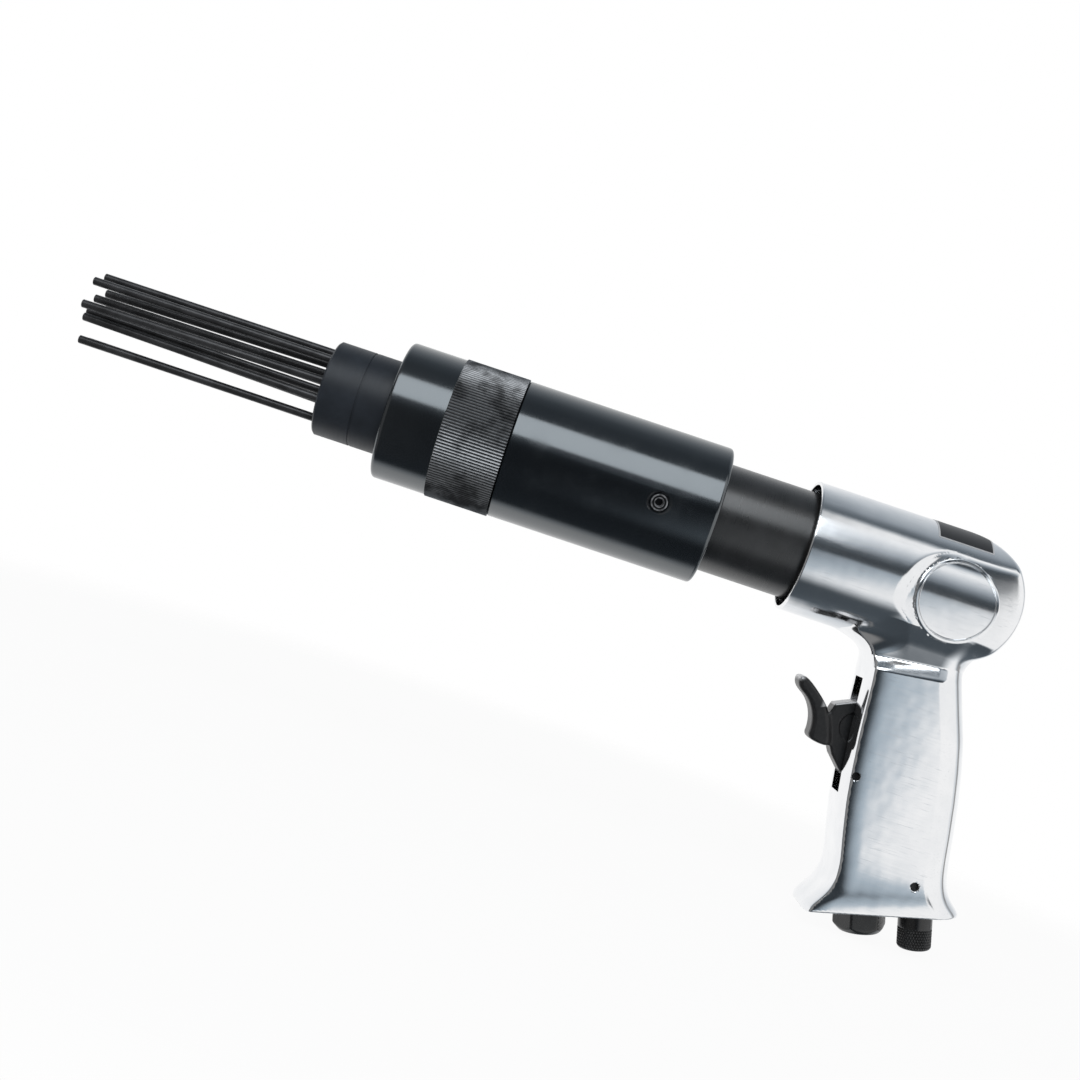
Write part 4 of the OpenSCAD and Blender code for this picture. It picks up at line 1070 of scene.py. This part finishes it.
for side, name in ((1, "boss_left"), (-1, "boss_right")):
    boss = polar_mesh(name, boss_radii, boss_heights(), BOSS_POINTS, aluminium)
    facing = Matrix(((-side, 0, 0), (0, 0, side), (0, 1, 0))).to_4x4()
    boss.data.transform(Matrix.Translation(Vector((BOSS_X, 0, BOSS_Z)) * MM) @ facing)
    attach(boss, "body")
    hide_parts("housing")
print("bosses at mm", BOSS_X, BOSS_Z)

# %% [markdown]
# ## The trigger
# A black satin lever: a crescent pad for the finger, on a web that narrows to its pin. A bevelled curve
# would round all its edges alike, so its outline is drawn in the middle plane and softened, and the
# field of the outline is cut to the width with rounded edges. The round recess in the web is a shallow
# dish.

# %% Outlines
def softened(points, rounds):
    """Cut the corners of a closed outline a few times, so that it flows."""
    points = np.array(points, float)
    for _ in range(rounds):
        after = np.roll(points, -1, axis=0)
        points = np.stack([0.75 * points + 0.25 * after, 0.25 * points + 0.75 * after], 1).reshape(-1, 2)
    return points


def outline_field(points, x, z):
    """Distance to a closed outline, negative inside it."""
    nearest = np.full(x.shape, np.inf)
    inside = np.zeros(x.shape, bool)
    for (ax, az), (bx, bz) in zip(points, np.roll(points, -1, axis=0)):
        ex, ez = bx - ax, bz - az
        t = np.clip(((x - ax) * ex + (z - az) * ez) / max(ex * ex + ez * ez, 1e-12), 0, 1)
        nearest = np.minimum(nearest, np.hypot(x - ax - t * ex, z - az - t * ez))
        if ez != 0:
            inside ^= ((az > z) != (bz > z)) & (x < ax + (z - az) * ex / ez)
    return np.where(inside, -nearest, nearest)


print("a square softened twice has", len(softened([(0, 0), (1, 0), (1, 1), (0, 1)], 2)), "corners")

# %% Trigger
TRIGGER_REACH, TRIGGER_HEIGHT = 21.0, 34.6
PAD_SHARES = [
    (0.958, 1.0), (0.8, 0.968), (0.474, 0.702), (0.427, 0.584), (0.4, 0.445), (0.388, 0.338),
    (0.4, 0.256), (0.586, 0.28), (0.79, 0.344), (0.727, 0.454), (0.719, 0.601), (0.8, 0.749),
    (0.971, 0.858), (1.0, 0.931),
]
WEB_OUTLINE = [
    (2.5, -2.5), (8.82, 8.86), (9.45, 24.3), (-1.4, 26.2), (-6.5, 26.5), (-6.5, 16.5), (-3.54, 0.0),
    (-2.5, -2.5),
]
PAD_HALF, PAD_ROUND, WEB_HALF, WEB_ROUND, WEB_JOIN = 5.2, 1.8, 4.5, 0.9, 1.2
RECESS_AT, RECESS_R, RECESS_DEPTH, RECESS_ROUND, RECESS_RIM = (-0.6, 16.0), 5.6, 0.45, 0.5, 0.4
TRIGGER_PIN_R, TRIGGER_MARGIN, TRIGGER_STEP = 1.56, 1.13, 0.42
pad_outline = softened(np.array(PAD_SHARES) * (TRIGGER_REACH, TRIGGER_HEIGHT), 2)
web_outline = softened(WEB_OUTLINE, 1)


def trigger_field(x, y, z):
    forward, rise = to_grip(x, z)
    forward, rise = forward - TRIGGER_PIN[0], rise - TRIGGER_PIN[1]
    width = np.abs(y)
    pad = soft_max(outline_field(pad_outline, forward, rise), width - PAD_HALF, PAD_ROUND)
    web = soft_max(outline_field(web_outline, forward, rise), width - WEB_HALF, WEB_ROUND)
    lever = soft_min(pad, web, WEB_JOIN)
    from_recess = np.hypot(forward - RECESS_AT[0], rise - RECESS_AT[1]) - RECESS_R
    dish = soft_max(from_recess, WEB_HALF - RECESS_DEPTH - width, RECESS_ROUND)
    lever = soft_max(lever, -dish, RECESS_RIM)
    return np.maximum(lever, TRIGGER_PIN_R - np.hypot(forward, rise))


lines = grid_round("trigger", TRIGGER_MARGIN, TRIGGER_STEP)
trigger = field_piece("trigger_lever", trigger_field, lines, trigger_black)
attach(trigger, "trigger")
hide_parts("trigger")

# %% [markdown]
# ## The regulator knob
# The knob at the foot is turned from bar: a plain collar, then a diamond knurl, and a rounded end. Bump
# could fake the knurl, but its small pyramids catch the light and show on the outline, so they are real
# geometry: two sets of ridges wind round the knob in opposite ways, and the lower of the two gives the
# height.

# %% Rings
def ring_faces(rings, points):
    """Quads between rings of points that follow each other, and a cap on each end."""
    faces = []
    for ring in range(rings - 1):
        for k in range(points):
            a, b = ring * points + k, ring * points + (k + 1) % points
            faces.append((a, a + points, b + points, b))
    last = range((rings - 1) * points, rings * points)
    return faces + [tuple(range(points)), tuple(reversed(last))]


print("two rings of 8 points give", len(ring_faces(2, 8)), "faces")

# %% Knob
KNOB_R, KNOB_TOP, KNOB_BOTTOM, KNOB_ROUND = 6.3, -119.3, -133.5, 1.5
KNOB_STEM_R, KNOB_STEM_LEVELS = 5.0, (-91.0, -119.0, -119.28)
KNOB_EASE, KNOB_CHAMFER, KNOB_SHARP = 0.06, 0.25, 40.0
KNURL_TOP, KNURL_DEPTH, KNURL_STARTS, KNURL_PITCH = -125.4, 0.3, 38, 1.0
KNURL_STEP, KNURL_STEEP, KNURL_START, KNURL_END = -0.125, 1.5, (0.0, 0.5), (0.1, 1.2)
knob_points = KNURL_STARTS * 8
around = np.arange(knob_points) * 2 * math.pi / knob_points


def saw(t):
    return np.abs(2 * (t - np.floor(t)) - 1)


def knob_ring(z):
    """Radius round the knob at a height: the plain collar, the knurl, and the rounded end."""
    from_end = z - KNOB_BOTTOM
    r = KNOB_R - KNOB_EASE
    if from_end < KNOB_ROUND:
        r -= KNOB_ROUND - math.sqrt(KNOB_ROUND ** 2 - (KNOB_ROUND - from_end) ** 2)
    turns = KNURL_STARTS * around / (2 * math.pi)
    wind = from_end / (2 * KNURL_PITCH)
    pyramids = np.minimum(saw(turns + wind), saw(turns - wind))
    deep = smooth_step(*KNURL_START, np.array(KNURL_TOP - z)) * smooth_step(*KNURL_END, np.array(from_end))
    return r - KNURL_DEPTH * deep * (1 - np.minimum(pyramids * KNURL_STEEP, 1.0))


collar = [KNOB_TOP, KNOB_TOP - 0.15, -121.0, -123.0, -125.0]
knurl = list(np.arange(KNURL_TOP, KNOB_BOTTOM + 0.2, KNURL_STEP))
end = [KNOB_BOTTOM + 0.12, KNOB_BOTTOM + 0.05, KNOB_BOTTOM]
rows = [(np.full(knob_points, KNOB_STEM_R), z) for z in KNOB_STEM_LEVELS]
rows += [(knob_ring(z) - (KNOB_CHAMFER if z == KNOB_TOP else 0.0), z) for z in collar + knurl + end]
knob_vertices = [(r * math.cos(a), r * math.sin(a), z) for ring, z in rows for r, a in zip(ring, around)]
knob_faces = ring_faces(len(rows), knob_points)
knob = mesh_piece("regulator_knob", knob_vertices, knob_faces, plain["black_oxide"], KNOB_SHARP)
in_grip = Matrix.Translation(Vector((GRIP_X, 0, 0)) * MM) @ Matrix.Rotation(GRIP_RAKE, 4, "Y")
knob.data.transform(in_grip @ Matrix.Translation(Vector((REGULATOR_X, 0, 0)) * MM))
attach(knob, "regulator")
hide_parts("regulator")

# %% [markdown]
# ## The air inlet
# A hexagon nut with a chamfered end, in glossy black oxide. The CAD edges are sharp, and a real nut's
# aren't. A Bevel modifier would stumble over the chamfer, so the nut is a field too, joined softly.

# %% Inlet
INLET_FLAT, INLET_FOOT, INLET_HEX_TOP = 8.5, -128.1, -119.1
INLET_HEX_ROUND, INLET_END_ROUND, INLET_CHAMFER_R = 0.5, 0.4, 7.3
INLET_BUSH_R, INLET_BUSH_TOP, INLET_BUSH_FOOT = 7.7, -106.0, INLET_FOOT + 1
INLET_THREAD_R, INLET_THREAD_TOP, INLET_PASSAGE_R = 5.72, -112.1, 3.5
INLET_MARGIN, INLET_STEP = 1.13, 0.4


def inlet_field(x, y, z):
    forward, rise = to_grip(x, z)
    forward = np.abs(forward - INLET_X)
    width = np.abs(y)
    r = np.hypot(forward, width)
    slanting = forward * math.cos(math.pi / 6) + width / 2
    hexagon = soft_max(width, slanting, INLET_HEX_ROUND) - INLET_FLAT
    chamfer = (r - INLET_CHAMFER_R - (rise - INLET_FOOT)) / math.sqrt(2)
    hexagon = soft_max(hexagon, chamfer, INLET_HEX_ROUND)
    hexagon = soft_max(hexagon, np.maximum(INLET_FOOT - rise, rise - INLET_HEX_TOP), INLET_END_ROUND)
    bush = np.maximum(r - INLET_BUSH_R, np.maximum(INLET_BUSH_FOOT - rise, rise - INLET_BUSH_TOP))
    bore = np.minimum(np.maximum(r - INLET_THREAD_R, rise - INLET_THREAD_TOP), r - INLET_PASSAGE_R)
    return cut(np.minimum(hexagon, bush), bore)


lines = grid_round("air_inlet", INLET_MARGIN, INLET_STEP)
inlet = field_piece("air_inlet_nut", inlet_field, lines, plain["black_oxide"])
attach(inlet, "body")
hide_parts("air_inlet")

# %% [markdown]
# ## The springs
# Two wound wires sit inside: a stout one behind the nose pushes the needle holder back, and a small one
# behind the throttle stem shuts the air. A bevelled curve could make them, but the wire is swept as a
# mesh instead, ring by ring, and each coil is fixed to the body.

# %% Wound wire
WIRE_SIDES, RINGS_PER_TURN, WIRE_SHARP = 10, 24, 60.0


def wound_wire(name, node, along, length, wire, turns):
    """A coil in the node's place, from its box's middle, along a unit vector; lengths in mm."""
    low, high = box_in_mm(node)
    along = np.array(along)
    mean_radius = (high[1] - low[1]) / 2 - wire / 2
    side = np.array([0.0, 1.0, 0.0])
    up = np.cross(along, side)
    rings = turns * RINGS_PER_TURN + 1
    t = np.linspace(0, 1, rings)[:, None, None]
    turn = 2 * math.pi * turns * t
    section = np.linspace(0, 2 * math.pi, WIRE_SIDES, endpoint=False)[None, :, None]
    radius = mean_radius + wire / 2 * np.cos(section)
    ahead = (t - 0.5) * (length - wire) + wire / 2 * np.sin(section)
    points = (low + high) / 2 + ahead * along + radius * (np.cos(turn) * side + np.sin(turn) * up)
    faces = ring_faces(rings, WIRE_SIDES)
    spring = mesh_piece(name, points.reshape(-1, 3), faces, plain["spring_steel"], WIRE_SHARP)
    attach(spring, "body")
    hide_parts(node)
    return spring, (low + high) / 2 * MM, along * length / 2 * MM


print("a turn of wire has", RINGS_PER_TURN * WIRE_SIDES, "faces")

# %% Springs
RETURN_WIRE, RETURN_TURNS = 2.4, 6
THROTTLE_WIRE, THROTTLE_TURNS, THROTTLE_SPRING_LENGTH = 0.9, 4, 8.4
barrel_forward = (1.0, 0.0, 0.0)
grip_forward = (math.cos(GRIP_RAKE), 0.0, -math.sin(GRIP_RAKE))

spring_low, spring_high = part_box("return_spring")
return_length = (spring_high[0] - spring_low[0]) / MM
coil, middle, reach = wound_wire(
    "return_coil", "return_spring", barrel_forward, return_length, RETURN_WIRE, RETURN_TURNS)
tuple(middle + reach)
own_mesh(coil)

coil, middle, reach = wound_wire(
    "throttle_coil", "throttle_spring", grip_forward, THROTTLE_SPRING_LENGTH, THROTTLE_WIRE, THROTTLE_TURNS)
tuple(middle - reach)
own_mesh(coil)

# %% [markdown]
# ## The label
# A small dark label is stuck over the top of the housing, plain, with a thin pale border. A decal image
# could be projected, but a thin skin that follows the housing's field needs no image: each of its points
# is found along a ray from the barrel's axis.

# %% Label's shape
LABEL_FRONT, LABEL_REAR = -191.5, -212.5
LABEL_LOW, LABEL_HIGH = math.radians(46.5), math.radians(102.0)
LABEL_THICK, LABEL_SINK, LABEL_SHARP = 0.12, -0.3, 50.0
LABEL_ROWS, LABEL_COLUMNS = 48, 40
SKIN_NEAR, SKIN_FAR, SKIN_HALVINGS = 18.0, 27.0, 24


def skin_radius(x, angle):
    """Distance from the barrel's axis to the housing's surface, by halving the interval."""
    near, far = np.full(x.shape, SKIN_NEAR), np.full(x.shape, SKIN_FAR)
    for _ in range(SKIN_HALVINGS):
        r = (near + far) / 2
        inside = barrel_field(x, r * np.cos(angle), r * np.sin(angle)) < 0
        near, far = np.where(inside, r, near), np.where(inside, far, r)
    return near


label_x, label_angle = np.meshgrid(
    np.linspace(LABEL_FRONT, LABEL_REAR, LABEL_COLUMNS), np.linspace(LABEL_LOW, LABEL_HIGH, LABEL_ROWS))
label_r = skin_radius(label_x, label_angle)
layers = []
for lift in (LABEL_THICK, LABEL_SINK):
    r = label_r + lift
    layers.append(np.stack([label_x, r * np.cos(label_angle), r * np.sin(label_angle)], 2).reshape(-1, 3))
count = label_x.size
points = np.arange(count).reshape(LABEL_ROWS, LABEL_COLUMNS)
label_faces = []
for a in points[:-1, :-1].ravel().tolist():
    quad = (a, a + LABEL_COLUMNS, a + LABEL_COLUMNS + 1, a + 1)
    label_faces += [quad, tuple(count + k for k in reversed(quad))]
edge = np.concatenate([points[0], points[1:, -1], points[-1, -2::-1], points[-2:0:-1, 0]]).tolist()
label_faces += [(a, b, count + b, count + a) for a, b in zip(edge, edge[1:] + edge[:1])]
print("label lies at mm", round(label_r.min(), 2), "to", round(label_r.max(), 2), "from the axis")

# %% Label's skin
LABEL_BORDER, BORDER_EDGE = 0.7, 0.6
FILM, FILM_PALE, BORDER_PALE = (0.010, 0.010, 0.012), (0.022, 0.022, 0.024), (0.62, 0.63, 0.65)


def label_skin():
    """Dark satin film with a thin pale border, measured from the label's own edges."""
    material, shader, place = begin_finish("label_skin")
    x, y, z = axes_of(place)
    round_barrel = maths("ARCTAN2", z, y)
    from_ends = (LABEL_FRONT - LABEL_REAR) / 2 - abs(x - (LABEL_FRONT + LABEL_REAR) / 2)
    from_sides = (LABEL_HIGH - LABEL_LOW) / 2 - abs(round_barrel - (LABEL_HIGH + LABEL_LOW) / 2)
    from_edge = maths("MINIMUM", from_ends, from_sides * BARREL_R)
    inside = from_edge.between(LABEL_BORDER * BORDER_EDGE, LABEL_BORDER)
    fibres = grain(place, 0.8)
    dark = mix_colour(fibres, FILM, FILM_PALE)
    feed(shader, Base_Color=mix_colour(inside, BORDER_PALE, dark), Roughness=0.32 + fibres * 0.12)
    bump(shader, fibres * 0.05, 0.3, 0.2)
    return material


label = mesh_piece("blank_label", np.concatenate(layers), label_faces, label_skin(), LABEL_SHARP)
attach(label, "body")
